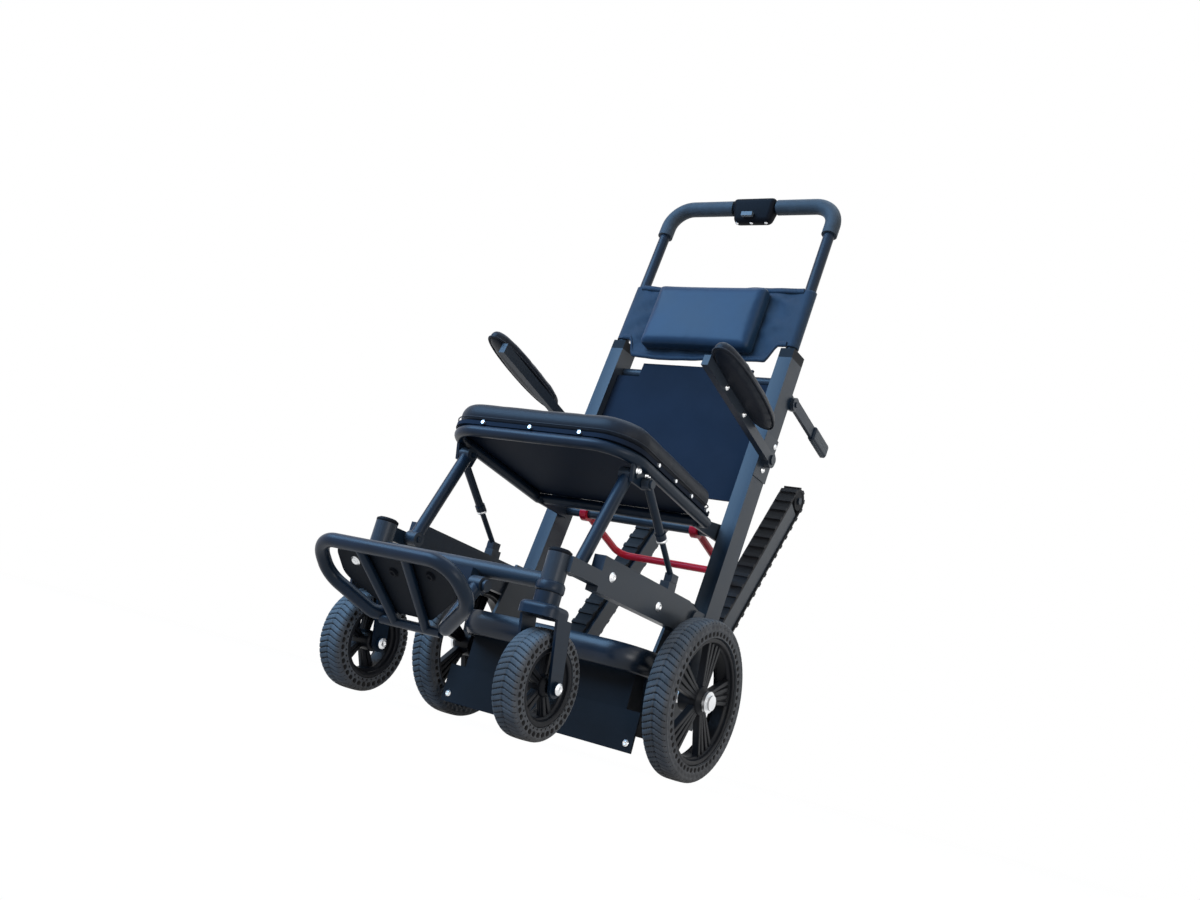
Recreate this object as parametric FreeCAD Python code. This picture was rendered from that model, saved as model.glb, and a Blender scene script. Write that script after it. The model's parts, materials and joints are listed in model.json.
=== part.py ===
"""Folding stair chair on two large rear wheels and two casters, with a crawler track behind.

Millimetres.  +Z is up, -Y is the front of the chair and +X is the occupant's left.
The working frame has its origin on the floor under the rear axle; finished pieces are
shifted along Y so that the whole chair is centred over the origin.
"""
import FreeCAD
import Part
import math
import os

# ---- driving dimensions -------------------------------------------------------------
RUNNING = 0.05            # radial clearance of a shaft in its bore
SIDE_GAP = 0.3            # clearance between pieces that move past each other
COPE = 0.05               # a tube end or seat cut to fit round another tube
SHEET = 3.0               # folded sheet-metal wall

REAR_WHEEL_R = 150.0
REAR_WHEEL_W = 50.0
REAR_WHEEL_X = 274.6      # centre of the wheel, from the middle of the chair
REAR_TYRE_DEPTH = 32.0      # rubber between rim and tread
AXLE_R = 10.0
CASTER_R = 90.0
CASTER_W = 50.0
CASTER_TYRE_DEPTH = 25.0
CASTER_AXLE_R = 6.0
STEM_X = 194.0
STEM_Y = -426.0
STEM_R = 12.0
STEM_TUBE_R = 20.0
STEM_TOP = 298.0
STEM_CLOSED = 15.0          # solid top of a stem tube
CROWN_GAP = 12.0            # air between a caster and its fork crown
CROWN_H = 21.0
CUP_H = 18.9
CUP_R = 22.0
FORK_WALL = 5.0
FORK_GAP = 7.5              # air beside a caster inside its fork
TRAIL = 38.0
TYRE_HOLE_R = 5.5
REAR_TYRE_HOLES = 30
CASTER_TYRE_HOLES = 24
SPOKES = 5
SPOKE_HALF = 4.0
SPOKE_SPREAD = 5.0          # degrees each spoke of a pair leans away from the other
SPOKE_OFFSET = 0.42         # share of the hub radius between a spoke and its pair's middle
REAR_HUB_R = 27.0
CASTER_HUB_R = 18.0

UPRIGHT_X = 214.0
UPRIGHT_W = 32.0
UPRIGHT_DEPTH = 57.0
UPRIGHT_WALL = 2.5
UPRIGHT_FOOT = 160.0
UPRIGHT_TOP = 898.0
CAP_H = 22.0
LEAN = 0.155              # run of the uprights per unit of rise
FRONT_FACE_Y = 75.0       # front face of an upright at seat height
FRONT_FACE_Z = 490.0

SEAT_PIVOT = (93.0, 487.0)        # y, z
BEAM_PIVOT = (20.0, 294.0)
LEG_PIVOT = (-355.0, 290.0)
PIVOT_R = 8.0
LEG_PIN_R = 6.0
BOLT_R = 5.0
CROSS_SHAFT_R = 10.0

PLATE_IN = 192.0          # inner face of the hanger plates
PLATE_T = 6.0
BEAM_W = 23.7
BEAM_LOW = 262.0
BEAM_HIGH = 325.0
BEAM_STEP_Y = -335.0        # the beam narrows to a tongue ahead of here
BEAM_TONGUE_LOW = 272.0
BEAM_END_R = 23.0
LEG_X = 185.0
LEG_R = 12.0
STRUT_X = 213.0

SEAT_RAIL_X = 205.0
SEAT_RAIL_R = 11.0
SEAT_RAIL_Z = 508.0
SEAT_FRONT = -345.0
SEAT_TILT = 5.0             # the rear of the seat is lower than its front
SEAT_BEND = 75.0            # bend of the seat rail at its front corners
SEAT_FRONT_CORNER = 70.0
BOARD_HALF = 213.0
BOARD_REAR = -2.0
BOARD_REAR_CORNER = 12.0
BOARD_T = 8.0
CUSHION_HALF = 215.0
CUSHION_REAR = -5.0
CUSHION_REAR_CORNER = 20.0
CUSHION_ROUND = 14.0
CUSHION_T = 44.0
CUSHION_LIFT = 0.04         # the cushion lies on the board
RIVET_R = 3.5
RIVET_DEPTH = 4.0           # rivets sit this far below the top of the board
SHACKLE_HALF = 18.0
SHACKLE_FRONT = -14.0

HANDLE_SLACK = 1.0          # play of the handle tube in the uprights
HANDLE_BEND = 55.0
HANDLE_TOP = 1305.0
HANDLE_FOOT = 700.0
HANDLE_OFFSET = 15.5      # tube axis behind the front face of the uprights
GRIP_WALL = 5.5
GRIP_FOOT = 1224.0
SLING_LOW = 924.0
SLING_HIGH = 1070.0
SLING_FLAP_LOW = 882.0      # the cloth hangs lower between the uprights
SLING_FLAP_HALF = 192.0
SLING_HALF_T = 2.0
SLEEVE_WALL = 3.5
HEADREST_X = (-150.0, 135.0)
HEADREST_Z = (894.0, 1066.0)
HEADREST_T = 45.0
PANEL_OFFSET = 20.0         # back sheet behind the front face of the uprights
PANEL_T = 6.0
PANEL_LOW = 560.0
PANEL_HIGH = 835.0
TAB_HALF = 140.0
TAB_HIGH = 870.0
UPPER_BAR_Z = 850.0

ARM_PIVOT = (131.0, 665.0)
ARM_TILT = 11.8
ARM_LENGTH = 353.0
ARM_IN = 232.0
ARM_BAR_W = 14.0
ARM_BAR_H = 22.0
PAD_W = 68.0
PAD_LENGTH = 275.0
PAD_T = 28.0

FOOT_PIVOT = (-446.0, 220.0)
FOOT_CORNER = (-500.0, 125.0)
FOOT_TILT = 38.0
FOOT_DEPTH = 155.0
FOOT_HALF = 155.0
FOOT_TUBE_R = 12.0
FOOT_HANGER_X = 66.0
FOOT_BEND = 48.0            # bend of the footrest tube at its outer corners
FOOT_HEEL_BEND = 24.0
FOOT_BARREL_HALF = 12.0
FOOT_BARREL_R = 14.0
FOOT_SLAT_R = 8.0
FOOT_PLATE_T = 4.0

TRACK_PIVOT = (150.0, 118.0)
TRACK_ANGLE = 60.0
TRACK_LENGTH = 645.0
TRACK_IN = 130.0
TRACK_W = 40.0
BELT_R = 28.0
BELT_T = 5.0
CLEAT_H = 4.0
CLEAT_HALF = 5.0
CHEEK_T = 7.0
CHEEK_HALF = 20.0
TRACK_SHAFT_R = 8.0

LEVER_PIVOT = (196.0, 813.0)
LEVER_END = (400.0, 779.0)
LEVER_T = 8.0
LEVER_HALF = 13.0
LEVER_GRIP_HALF = 16.0
LEVER_GRIP_LENGTH = 88.0

PROP_X = 137.0
PROP_END = (262.0, 441.0)
PROP_R = 8.0

HOUSING_FRONT = -90.0
HOUSING_BACK = 40.0
HOUSING_LOW = 60.0
HOUSING_HIGH = 205.0
BAND_LOW = 162.0
BAND_HIGH = 210.0
BAND_FRONT = -150.0
BAND_T = 20.0
BAND_CORNER = 82.0
KICK_HALF = 225.0
KICK_LOW = 24.0
KICK_HIGH = 98.0
KICK_T = 5.0

# ---- derived places -----------------------------------------------------------------
REAR_RIM_R = REAR_WHEEL_R - REAR_TYRE_DEPTH
CASTER_RIM_R = CASTER_R - CASTER_TYRE_DEPTH
CROWN_LOW = 2 * CASTER_R + CROWN_GAP
CROWN_TOP = CROWN_LOW + CROWN_H
HANDLE_R = UPRIGHT_W / 2 - UPRIGHT_WALL - HANDLE_SLACK
GRIP_R = HANDLE_R + GRIP_WALL
PLATE_OUT = PLATE_IN + PLATE_T
BEAM_IN = PLATE_OUT + SIDE_GAP
BEAM_OUT = BEAM_IN + BEAM_W
CASTER_Y = STEM_Y + TRAIL
AXLE = (0.0, REAR_WHEEL_R)
UPRIGHT_IN = UPRIGHT_X - UPRIGHT_W / 2
UPRIGHT_OUT = UPRIGHT_X + UPRIGHT_W / 2
LEVER_IN = UPRIGHT_OUT + SIDE_GAP
BOARD_LOW = SEAT_RAIL_Z + SEAT_RAIL_R
CUSHION_LOW = BOARD_LOW + BOARD_T + CUSHION_LIFT
LINK = (SEAT_PIVOT[0] - BEAM_PIVOT[0], SEAT_PIVOT[1] - BEAM_PIVOT[1])
LEG_HEAD = (LEG_PIVOT[0] + LINK[0], LEG_PIVOT[1] + LINK[1])
STRUT_HEAD = (LEG_HEAD[0] + 27.0, LEG_HEAD[1] - 5.0)
STRUT_FOOT = (-90.0, BEAM_HIGH + 15.0)
CROSSBAR_Z = 250.0
CROSSBAR_R = 14.0
X_AXIS = FreeCAD.Vector(1, 0, 0)
SIDES = (("left", 1), ("right", -1))


# ---- small builders -----------------------------------------------------------------
def vec(x, y, z):
    return FreeCAD.Vector(x, y, z)


def block(x0, x1, y0, y1, z0, z1):
    return Part.makeBox(x1 - x0, y1 - y0, z1 - z0, vec(x0, y0, z0))


def rod(start, end, radius):
    start, end = vec(*start), vec(*end)
    return Part.makeCylinder(radius, (end - start).Length, start, end - start)


def cross(x0, x1, place, radius):
    """Round bar along X through the (y, z) place."""
    return rod((x0, place[0], place[1]), (x1, place[0], place[1]), radius)


def plate(points, x0, x1):
    """Flat plate with a (y, z) outline, between two X values."""
    wire = Part.makePolygon([vec(x0, y, z) for y, z in points + points[:1]])
    return Part.Face(wire).extrude(vec(x1 - x0, 0, 0))


def slab(outline, z0, z1):
    """Plate with an (x, y) outline, between two heights."""
    wire = Part.makePolygon([vec(x, y, z0) for x, y in outline + outline[:1]])
    return Part.Face(wire).extrude(vec(0, 0, z1 - z0))


def fuse(pieces):
    body = pieces[0].multiFuse(pieces[1:]) if len(pieces) > 1 else pieces[0]
    return body.removeSplitter()


def cut(body, *tools):
    for tool in tools:
        body = body.cut(tool)
    return body


def mirror(shape, side):
    return shape if side > 0 else shape.mirror(vec(0, 0, 0), X_AXIS)


def both(shape):
    return Part.makeCompound([shape, mirror(shape, -1)])


def tilt(shape, place, degrees):
    """Turn a piece drawn at the origin about X and carry it to the (y, z) place."""
    piece = shape.copy()
    piece.rotate(vec(0, 0, 0), X_AXIS, degrees)
    piece.translate(vec(0, place[0], place[1]))
    return piece


def bent_path(points, bends):
    """Wire of straight runs joined by tangent arcs of one bend radius, or of one for each."""
    points = [vec(*point) for point in points]
    if not isinstance(bends, list):
        bends = [bends] * (len(points) - 2)
    edges = []
    last = points[0]
    for before, corner, after, bend in zip(points, points[1:], points[2:], bends):
        back = (before - corner).normalize()
        on = (after - corner).normalize()
        half = back.getAngle(on) / 2
        reach = bend / math.tan(half)
        start = corner + back * reach
        end = corner + on * reach
        middle_way = (back + on).normalize()
        middle = corner + middle_way * (bend / math.sin(half) - bend)
        edges.append(Part.makeLine(last, start))
        edges.append(Part.Arc(start, middle, end).toShape())
        last = end
    edges.append(Part.makeLine(last, points[-1]))
    return Part.Wire(edges)


def bent_bar(points, bend, radius):
    """Round bar bent along the points."""
    path = bent_path(points, bend)
    start = path.Edges[0].valueAt(path.Edges[0].FirstParameter)
    way = vec(*points[1]) - vec(*points[0])
    ring = Part.Wire([Part.makeCircle(radius, start, way)])
    return path.makePipeShell([ring], True, False)


def front_y(z, offset=0.0):
    """Y of the uprights' front face at a height, or of a plane behind it."""
    return FRONT_FACE_Y + LEAN * (z - FRONT_FACE_Z) + offset


def leaning(x0, x1, offset0, offset1, z0, z1):
    """Slab that leans with the uprights between two planes behind their front face."""
    outline = [(front_y(z0, offset0), z0), (front_y(z0, offset1), z0),
               (front_y(z1, offset1), z1), (front_y(z1, offset0), z1)]
    return plate(outline, x0, x1)


def leaning_rod(x, z0, z1, radius):
    return rod((x, front_y(z0, HANDLE_OFFSET), z0), (x, front_y(z1, HANDLE_OFFSET), z1), radius)


def ring_x(x0, x1, place, outer, inner):
    return cross(x0, x1, place, outer).cut(cross(x0 - 1, x1 + 1, place, inner))


def rounded(width0, width1, length0, length1, z0, z1, radius, rear_radius=None):
    """Rectangular pad with round corners in plan; the rear corners may have their own radius."""
    body = block(width0, width1, length0, length1, z0, z1)
    corners = [edge for edge in body.Edges
               if abs(edge.Vertexes[0].Z - edge.Vertexes[1].Z) > (z1 - z0) / 2]
    middle = (length0 + length1) / 2
    front = [edge for edge in corners if edge.Vertexes[0].Y < middle]
    rear = [edge for edge in corners if edge.Vertexes[0].Y > middle]
    return body.makeFillet(radius, front).makeFillet(rear_radius or radius, rear)


# ---- back frame ---------------------------------------------------------------------
def upright():
    outer = leaning(UPRIGHT_IN, UPRIGHT_OUT, 0, UPRIGHT_DEPTH, UPRIGHT_FOOT, UPRIGHT_TOP)
    hollow = leaning(UPRIGHT_IN + UPRIGHT_WALL, UPRIGHT_OUT - UPRIGHT_WALL, UPRIGHT_WALL,
                     UPRIGHT_DEPTH - UPRIGHT_WALL, UPRIGHT_FOOT - 1, UPRIGHT_TOP + 1)
    arm_out = ARM_IN + ARM_BAR_W
    arm_pin = cross(UPRIGHT_OUT - 1, arm_out + 4, ARM_PIVOT, LEG_PIN_R)
    arm_boss = cross(UPRIGHT_OUT - 1, ARM_IN - SIDE_GAP, ARM_PIVOT, 13)
    arm_head = cross(arm_out + SIDE_GAP, arm_out + 4, ARM_PIVOT, 10)
    lug_back = LEVER_PIVOT[0] + 12
    lug = plate([(front_y(795, UPRIGHT_DEPTH - 2), 795), (lug_back, 801), (lug_back, 825),
                 (front_y(831, UPRIGHT_DEPTH - 2), 831)], UPRIGHT_OUT - PLATE_T, UPRIGHT_OUT)
    lever_pin = cross(UPRIGHT_OUT - 1, LEVER_IN + LEVER_T + 3, LEVER_PIVOT, LEG_PIN_R)
    return fuse([cut(outer, hollow), arm_pin, arm_boss, arm_head, lug, lever_pin])


def cap():
    body = leaning(UPRIGHT_IN, UPRIGHT_OUT, 0, UPRIGHT_DEPTH, UPRIGHT_TOP, UPRIGHT_TOP + CAP_H)
    return body.cut(leaning_rod(UPRIGHT_X, UPRIGHT_TOP - 5, UPRIGHT_TOP + CAP_H + 5,
                                HANDLE_R + RUNNING))


def upper_crossbar():
    place = (front_y(UPPER_BAR_Z, UPRIGHT_DEPTH - 15), UPPER_BAR_Z)
    return cross(-UPRIGHT_IN, UPRIGHT_IN, place, SEAT_RAIL_R)


def lower_crossbar():
    return cross(-UPRIGHT_IN, UPRIGHT_IN, SEAT_PIVOT, CROSS_SHAFT_R)


def back_panel():
    back = PANEL_OFFSET + PANEL_T
    sheet = leaning(-UPRIGHT_IN, UPRIGHT_IN, PANEL_OFFSET, back, PANEL_LOW, PANEL_HIGH)
    tab = leaning(-TAB_HALF, TAB_HALF, PANEL_OFFSET, back, PANEL_HIGH - 1, TAB_HIGH)
    return fuse([sheet, tab])


def back_sling():
    cloth = leaning(-UPRIGHT_X, UPRIGHT_X, HANDLE_OFFSET - SLING_HALF_T,
                    HANDLE_OFFSET + SLING_HALF_T, SLING_LOW, SLING_HIGH)
    flap = leaning(-SLING_FLAP_HALF, SLING_FLAP_HALF, HANDLE_OFFSET - SLING_HALF_T,
                   HANDLE_OFFSET + SLING_HALF_T, SLING_FLAP_LOW, SLING_LOW + 1)
    sleeves = [leaning_rod(side * UPRIGHT_X, SLING_LOW, SLING_HIGH, HANDLE_R + SLEEVE_WALL)
               for name, side in SIDES]
    bores = [leaning_rod(side * UPRIGHT_X, SLING_LOW - 9, SLING_HIGH + 9, HANDLE_R + SIDE_GAP)
             for name, side in SIDES]
    return cut(fuse([cloth, flap] + sleeves), *bores)


def headrest_pad():
    back = HANDLE_OFFSET - SLING_HALF_T
    body = leaning(*HEADREST_X, back - HEADREST_T, back, *HEADREST_Z)
    return body.makeFillet(8, body.Edges)


# ---- drive unit ---------------------------------------------------------------------
def drive_housing():
    outer = block(-PLATE_IN, PLATE_IN, HOUSING_FRONT, HOUSING_BACK, HOUSING_LOW, HOUSING_HIGH)
    top_edges = [edge for edge in outer.Edges
                 if min(vertex.Z for vertex in edge.Vertexes) > HOUSING_HIGH - 1
                 and abs(edge.Vertexes[0].X - edge.Vertexes[1].X) > 1]
    outer = outer.makeFillet(18, top_edges)
    inner = block(-PLATE_IN + SHEET, PLATE_IN - SHEET, HOUSING_FRONT + SHEET,
                  HOUSING_BACK - SHEET, HOUSING_LOW - 1, HOUSING_HIGH - 18)
    return cut(outer, inner, cross(-PLATE_IN - 1, PLATE_IN + 1, AXLE, AXLE_R + 0.1))


def kick_plate():
    face = block(-KICK_HALF, KICK_HALF, HOUSING_FRONT - KICK_T, HOUSING_FRONT, KICK_LOW, KICK_HIGH)
    floor = block(-PLATE_IN, PLATE_IN, HOUSING_FRONT - KICK_T, HOUSING_BACK, HOUSING_LOW - SHEET,
                  HOUSING_LOW)
    return fuse([face, floor])


def bumper_band():
    out, back = PLATE_OUT + BAND_T, 160
    outer = rounded(-out, out, BAND_FRONT, back, BAND_LOW, BAND_HIGH, BAND_CORNER, 75)
    inner = rounded(-PLATE_OUT, PLATE_OUT, BAND_FRONT + BAND_T, back - BAND_T, BAND_LOW - 1,
                    BAND_HIGH + 1, BAND_CORNER - BAND_T, 55)
    ring = outer.cut(inner)
    behind = leaning(-400, 400, 0, 400, BAND_LOW - 5, BAND_HIGH + 5)
    return ring.cut(behind)


def battery_pack():
    return rounded(-180, -62, -80, -18, HOUSING_LOW, 135, 6)


def gearbox():
    body = block(-40, 40, -28, 28, 118, 182)
    return cut(body, cross(-41, 41, AXLE, AXLE_R + 0.1))


def drive_motor():
    return fuse([cross(40, 140, (-40.0, 150.0), 26), cross(140, 150, (-40.0, 150.0), 12)])


def rear_axle():
    shaft = cross(-300, 300, AXLE, AXLE_R)
    pieces = [shaft]
    hub_in = REAR_WHEEL_X - REAR_WHEEL_W / 2
    hub_out = REAR_WHEEL_X + REAR_WHEEL_W / 2
    for name, side in SIDES:
        pieces.append(mirror(cross(UPRIGHT_OUT + 1, hub_in - 0.5, AXLE, 14), side))
        pieces.append(mirror(cross(hub_out + 0.5, hub_out + 6, AXLE, 20), side))
        pieces.append(mirror(cross(hub_out + 5, hub_out + 12, AXLE, 14), side))
    return fuse(pieces)


def hanger_plate():
    outline = [(-20, 330), (70, 330), (105, 200), (172, 140), (172, 98), (100, 98),
               (-40, 100), (-60, 180)]
    body = plate(outline, PLATE_IN, PLATE_OUT)
    return cut(body, cross(PLATE_IN - 1, PLATE_OUT + 1, AXLE, AXLE_R + 0.1),
               cross(PLATE_IN - 1, PLATE_OUT + 1, TRACK_PIVOT, TRACK_SHAFT_R + 0.1))


def beam_bracket():
    inner = BEAM_OUT + SIDE_GAP
    y, z = BEAM_PIVOT
    ear = plate([(y, z - 20), (front_y(z - 20), z - 20), (front_y(z + 20), z + 20),
                 (y, z + 20)], inner, inner + PLATE_T)
    return fuse([ear, cross(inner, inner + PLATE_T, BEAM_PIVOT, 20),
                 cross(PLATE_OUT, inner + PLATE_T + 3, BEAM_PIVOT, PIVOT_R)])


def track_shaft():
    return cross(-PLATE_OUT, PLATE_OUT, TRACK_PIVOT, TRACK_SHAFT_R)


# ---- front frame --------------------------------------------------------------------
def side_beam():
    y, z = BEAM_PIVOT
    neck = y - 35
    outline = [(STEM_Y, BEAM_TONGUE_LOW), (BEAM_STEP_Y, BEAM_TONGUE_LOW), (BEAM_STEP_Y, BEAM_LOW),
               (neck, BEAM_LOW), (y, z - BEAM_END_R), (y, z + BEAM_END_R), (neck, BEAM_HIGH),
               (BEAM_STEP_Y, BEAM_HIGH), (BEAM_STEP_Y, STEM_TOP), (STEM_Y, STEM_TOP)]
    body = plate(outline, BEAM_IN, BEAM_OUT)
    end = cross(BEAM_IN, BEAM_OUT, BEAM_PIVOT, BEAM_END_R)
    leg_pin = cross(LEG_X - LEG_R - 3, BEAM_IN + 2, LEG_PIVOT, LEG_PIN_R)
    latch = block(BEAM_IN + 2, BEAM_OUT - 2, STRUT_FOOT[0] - 14, STRUT_FOOT[0] + 14,
                  BEAM_HIGH - 2, STRUT_FOOT[1])
    body = fuse([body, end, leg_pin, latch])
    stem = rod((STEM_X, STEM_Y, 200), (STEM_X, STEM_Y, 400), STEM_TUBE_R + COPE)
    bore = cross(BEAM_IN - 1, BEAM_OUT + 1, BEAM_PIVOT, PIVOT_R + RUNNING)
    body = cut(body, stem, bore)
    return max(body.Solids, key=lambda solid: solid.Volume)


def stem_tube():
    low = CROWN_TOP + CUP_H + SIDE_GAP
    outer = rod((STEM_X, STEM_Y, low), (STEM_X, STEM_Y, STEM_TOP), STEM_TUBE_R)
    bore = rod((STEM_X, STEM_Y, low - 1), (STEM_X, STEM_Y, STEM_TOP - STEM_CLOSED),
               STEM_R + RUNNING)
    return outer.cut(bore)


def front_crossbar():
    bar = cross(-STEM_X, STEM_X, (STEM_Y, CROSSBAR_Z), CROSSBAR_R)
    stems = [rod((side * STEM_X, STEM_Y, 200), (side * STEM_X, STEM_Y, 300),
                 STEM_TUBE_R + COPE) for name, side in SIDES]
    return cut(bar, *stems)


def hinge_block():
    y, z = FOOT_PIVOT
    half = FOOT_HANGER_X - FOOT_BARREL_HALF - 2
    end = FOOT_HANGER_X + FOOT_BARREL_HALF + 8
    body = block(-half, half, y - 9, STEM_Y + 18, z - 12, CROSSBAR_Z - 5)
    body = body.cut(cross(-half - 1, half + 1, (STEM_Y, CROSSBAR_Z), CROSSBAR_R + COPE))
    pin = cross(-end, end, FOOT_PIVOT, LEG_PIN_R)
    heads = [mirror(cross(end - 5, end, FOOT_PIVOT, 10), side) for name, side in SIDES]
    return fuse([body, pin] + heads)


def front_leg():
    low = (LEG_X, LEG_PIVOT[0], LEG_PIVOT[1])
    high = (LEG_X, LEG_HEAD[0], LEG_HEAD[1])
    body = fuse([rod(low, high, LEG_R), cross(LEG_X - LEG_R, LEG_X + LEG_R, LEG_PIVOT, 14),
                 cross(LEG_X - LEG_R, LEG_X + LEG_R, LEG_HEAD, 14)])
    return cut(body, cross(LEG_X - 20, LEG_X + 20, LEG_PIVOT, LEG_PIN_R + RUNNING),
               cross(LEG_X - 20, LEG_X + 20, LEG_HEAD, BOLT_R + SIDE_GAP))


def strut():
    head, foot = STRUT_HEAD, (STRUT_FOOT[0], STRUT_FOOT[1] + 9)
    run = math.hypot(foot[0] - head[0], foot[1] - head[1])

    def along(distance):
        share = distance / run
        return (STRUT_X, head[0] + (foot[0] - head[0]) * share,
                head[1] + (foot[1] - head[1]) * share)
    pieces = [cross(STRUT_X - 7, STRUT_X + 7, head, 11), rod(along(0), along(112), 8),
              rod(along(108), along(120), 10), rod(along(100), along(run), 5.5),
              block(STRUT_X - 8, STRUT_X + 8, foot[0] - 12, foot[0] + 12,
                    STRUT_FOOT[1] + SIDE_GAP, STRUT_FOOT[1] + 16)]
    return cut(fuse(pieces), cross(STRUT_X - 20, STRUT_X + 20, head, BOLT_R + RUNNING))


# ---- seat ---------------------------------------------------------------------------
def settled(shape):
    """Lean a piece of the seat, drawn level, back about the heads of the front legs."""
    piece = shape.copy()
    piece.rotate(vec(0, LEG_HEAD[0], SEAT_RAIL_Z), X_AXIS, -SEAT_TILT)
    return piece


def seat_frame():
    x, z = SEAT_RAIL_X, SEAT_RAIL_Z
    rail = bent_bar([(x, 0, z), (x, SEAT_FRONT, z), (-x, SEAT_FRONT, z), (-x, 0, z)],
                    SEAT_BEND, SEAT_RAIL_R)
    rear = cross(-x, x, (0, z), SEAT_RAIL_R)
    corners = [Part.makeSphere(SEAT_RAIL_R, vec(side * x, 0, z)) for name, side in SIDES]
    return settled(fuse([rail, rear] + corners))


def seat_board():
    return settled(rounded(-BOARD_HALF, BOARD_HALF, SEAT_FRONT - 7, BOARD_REAR, BOARD_LOW,
                           BOARD_LOW + BOARD_T, SEAT_FRONT_CORNER, BOARD_REAR_CORNER))


def seat_cushion():
    top = CUSHION_LOW + CUSHION_T
    body = rounded(-CUSHION_HALF, CUSHION_HALF, SEAT_FRONT - 10, CUSHION_REAR, CUSHION_LOW, top,
                   SEAT_FRONT_CORNER, CUSHION_REAR_CORNER)
    rims = [edge for edge in body.Edges if min(vertex.Z for vertex in edge.Vertexes) > top - 1]
    return settled(body.makeFillet(CUSHION_ROUND, rims))


def seat_brackets():
    frame = seat_frame()
    y, z = SEAT_PIVOT
    rear_z = SEAT_RAIL_Z + LEG_HEAD[0] * math.sin(math.radians(SEAT_TILT))
    shackle = plate([(SHACKLE_FRONT, rear_z), (4, rear_z + 8), (y, z + SHACKLE_HALF),
                     (y, z - SHACKLE_HALF), (SHACKLE_FRONT, rear_z - 14)],
                    PLATE_IN - PLATE_T, PLATE_IN - SIDE_GAP)
    eye = cross(PLATE_IN - PLATE_T, PLATE_IN - SIDE_GAP, SEAT_PIVOT, SHACKLE_HALF)
    shackle = cut(fuse([shackle, eye]), frame,
                  cross(PLATE_IN - 20, PLATE_IN + 20, SEAT_PIVOT, CROSS_SHAFT_R + RUNNING))
    plate_in = LEG_X + LEG_R + 1
    gusset = plate([(LEG_HEAD[0] - 22, SEAT_RAIL_Z), (STRUT_HEAD[0] + 22, SEAT_RAIL_Z - 3),
                    (STRUT_HEAD[0] + 10, STRUT_HEAD[1] - 10),
                    (LEG_HEAD[0] - 10, LEG_HEAD[1] - 14)], plate_in, plate_in + PLATE_T)
    bolts = [cross(LEG_X - LEG_R - 4, plate_in + PLATE_T + 3, LEG_HEAD, BOLT_R),
             cross(plate_in, STRUT_X + 12, STRUT_HEAD, BOLT_R),
             cross(STRUT_X + 8 + SIDE_GAP, STRUT_X + 12, STRUT_HEAD, 8)]
    gusset = cut(fuse([gusset] + bolts), frame)
    solids = [max(piece.Solids, key=lambda solid: solid.Volume) for piece in (shackle, gusset)]
    return Part.makeCompound(solids + [mirror(solid, -1) for solid in solids])


def seat_rivets():
    rivets = []
    outer = SEAT_RAIL_X + SEAT_RAIL_R
    z = BOARD_LOW + BOARD_T - RIVET_DEPTH
    for along in (-240, -170, -100, -30):
        stud = rod((BOARD_HALF, along, z), (outer + 1.5, along, z), RIVET_R)
        rivets += [stud, mirror(stud, -1)]
    for across in (-110, 0, 110):
        rivets.append(rod((across, SEAT_FRONT - 7, z), (across, SEAT_FRONT - 12, z), RIVET_R))
    return settled(Part.makeCompound(rivets))


# ---- wheels -------------------------------------------------------------------------
def tyre(x, place, radius, width, rim_radius, holes, hole_radius):
    body = ring_x(x - width / 2, x + width / 2, place, radius, rim_radius)
    shoulder = [edge for edge in body.Edges
                if isinstance(edge.Curve, Part.Circle) and edge.Curve.Radius > radius - 1]
    body = body.makeFillet(width * 0.16, shoulder)
    ring = (radius + rim_radius) / 2 - 2
    bores = []
    for index in range(holes):
        turn = 2 * math.pi * index / holes
        centre = (place[0] + ring * math.cos(turn), place[1] + ring * math.sin(turn))
        bores.append(cross(x - width, x + width, centre, hole_radius))
    return body.cut(Part.makeCompound(bores))


def rim(x, place, rim_radius, width, bore, hub_radius, spokes, spoke_t):
    barrel = ring_x(x - width / 2 + 4, x + width / 2 - 4, place, rim_radius, rim_radius - 9)
    hub = cross(x - width / 2, x + width / 2, place, hub_radius)
    arms = []
    for index in range(spokes):
        for side in (-1, 1):
            offset = side * hub_radius * SPOKE_OFFSET
            arm = block(x - spoke_t, x + spoke_t, 0, rim_radius - 4, offset - SPOKE_HALF,
                        offset + SPOKE_HALF)
            arms.append(tilt(arm, place, 90 + 360.0 * index / spokes + side * SPOKE_SPREAD))
    body = fuse([barrel, hub] + arms)
    return body.cut(cross(x - width, x + width, place, bore))


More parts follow.
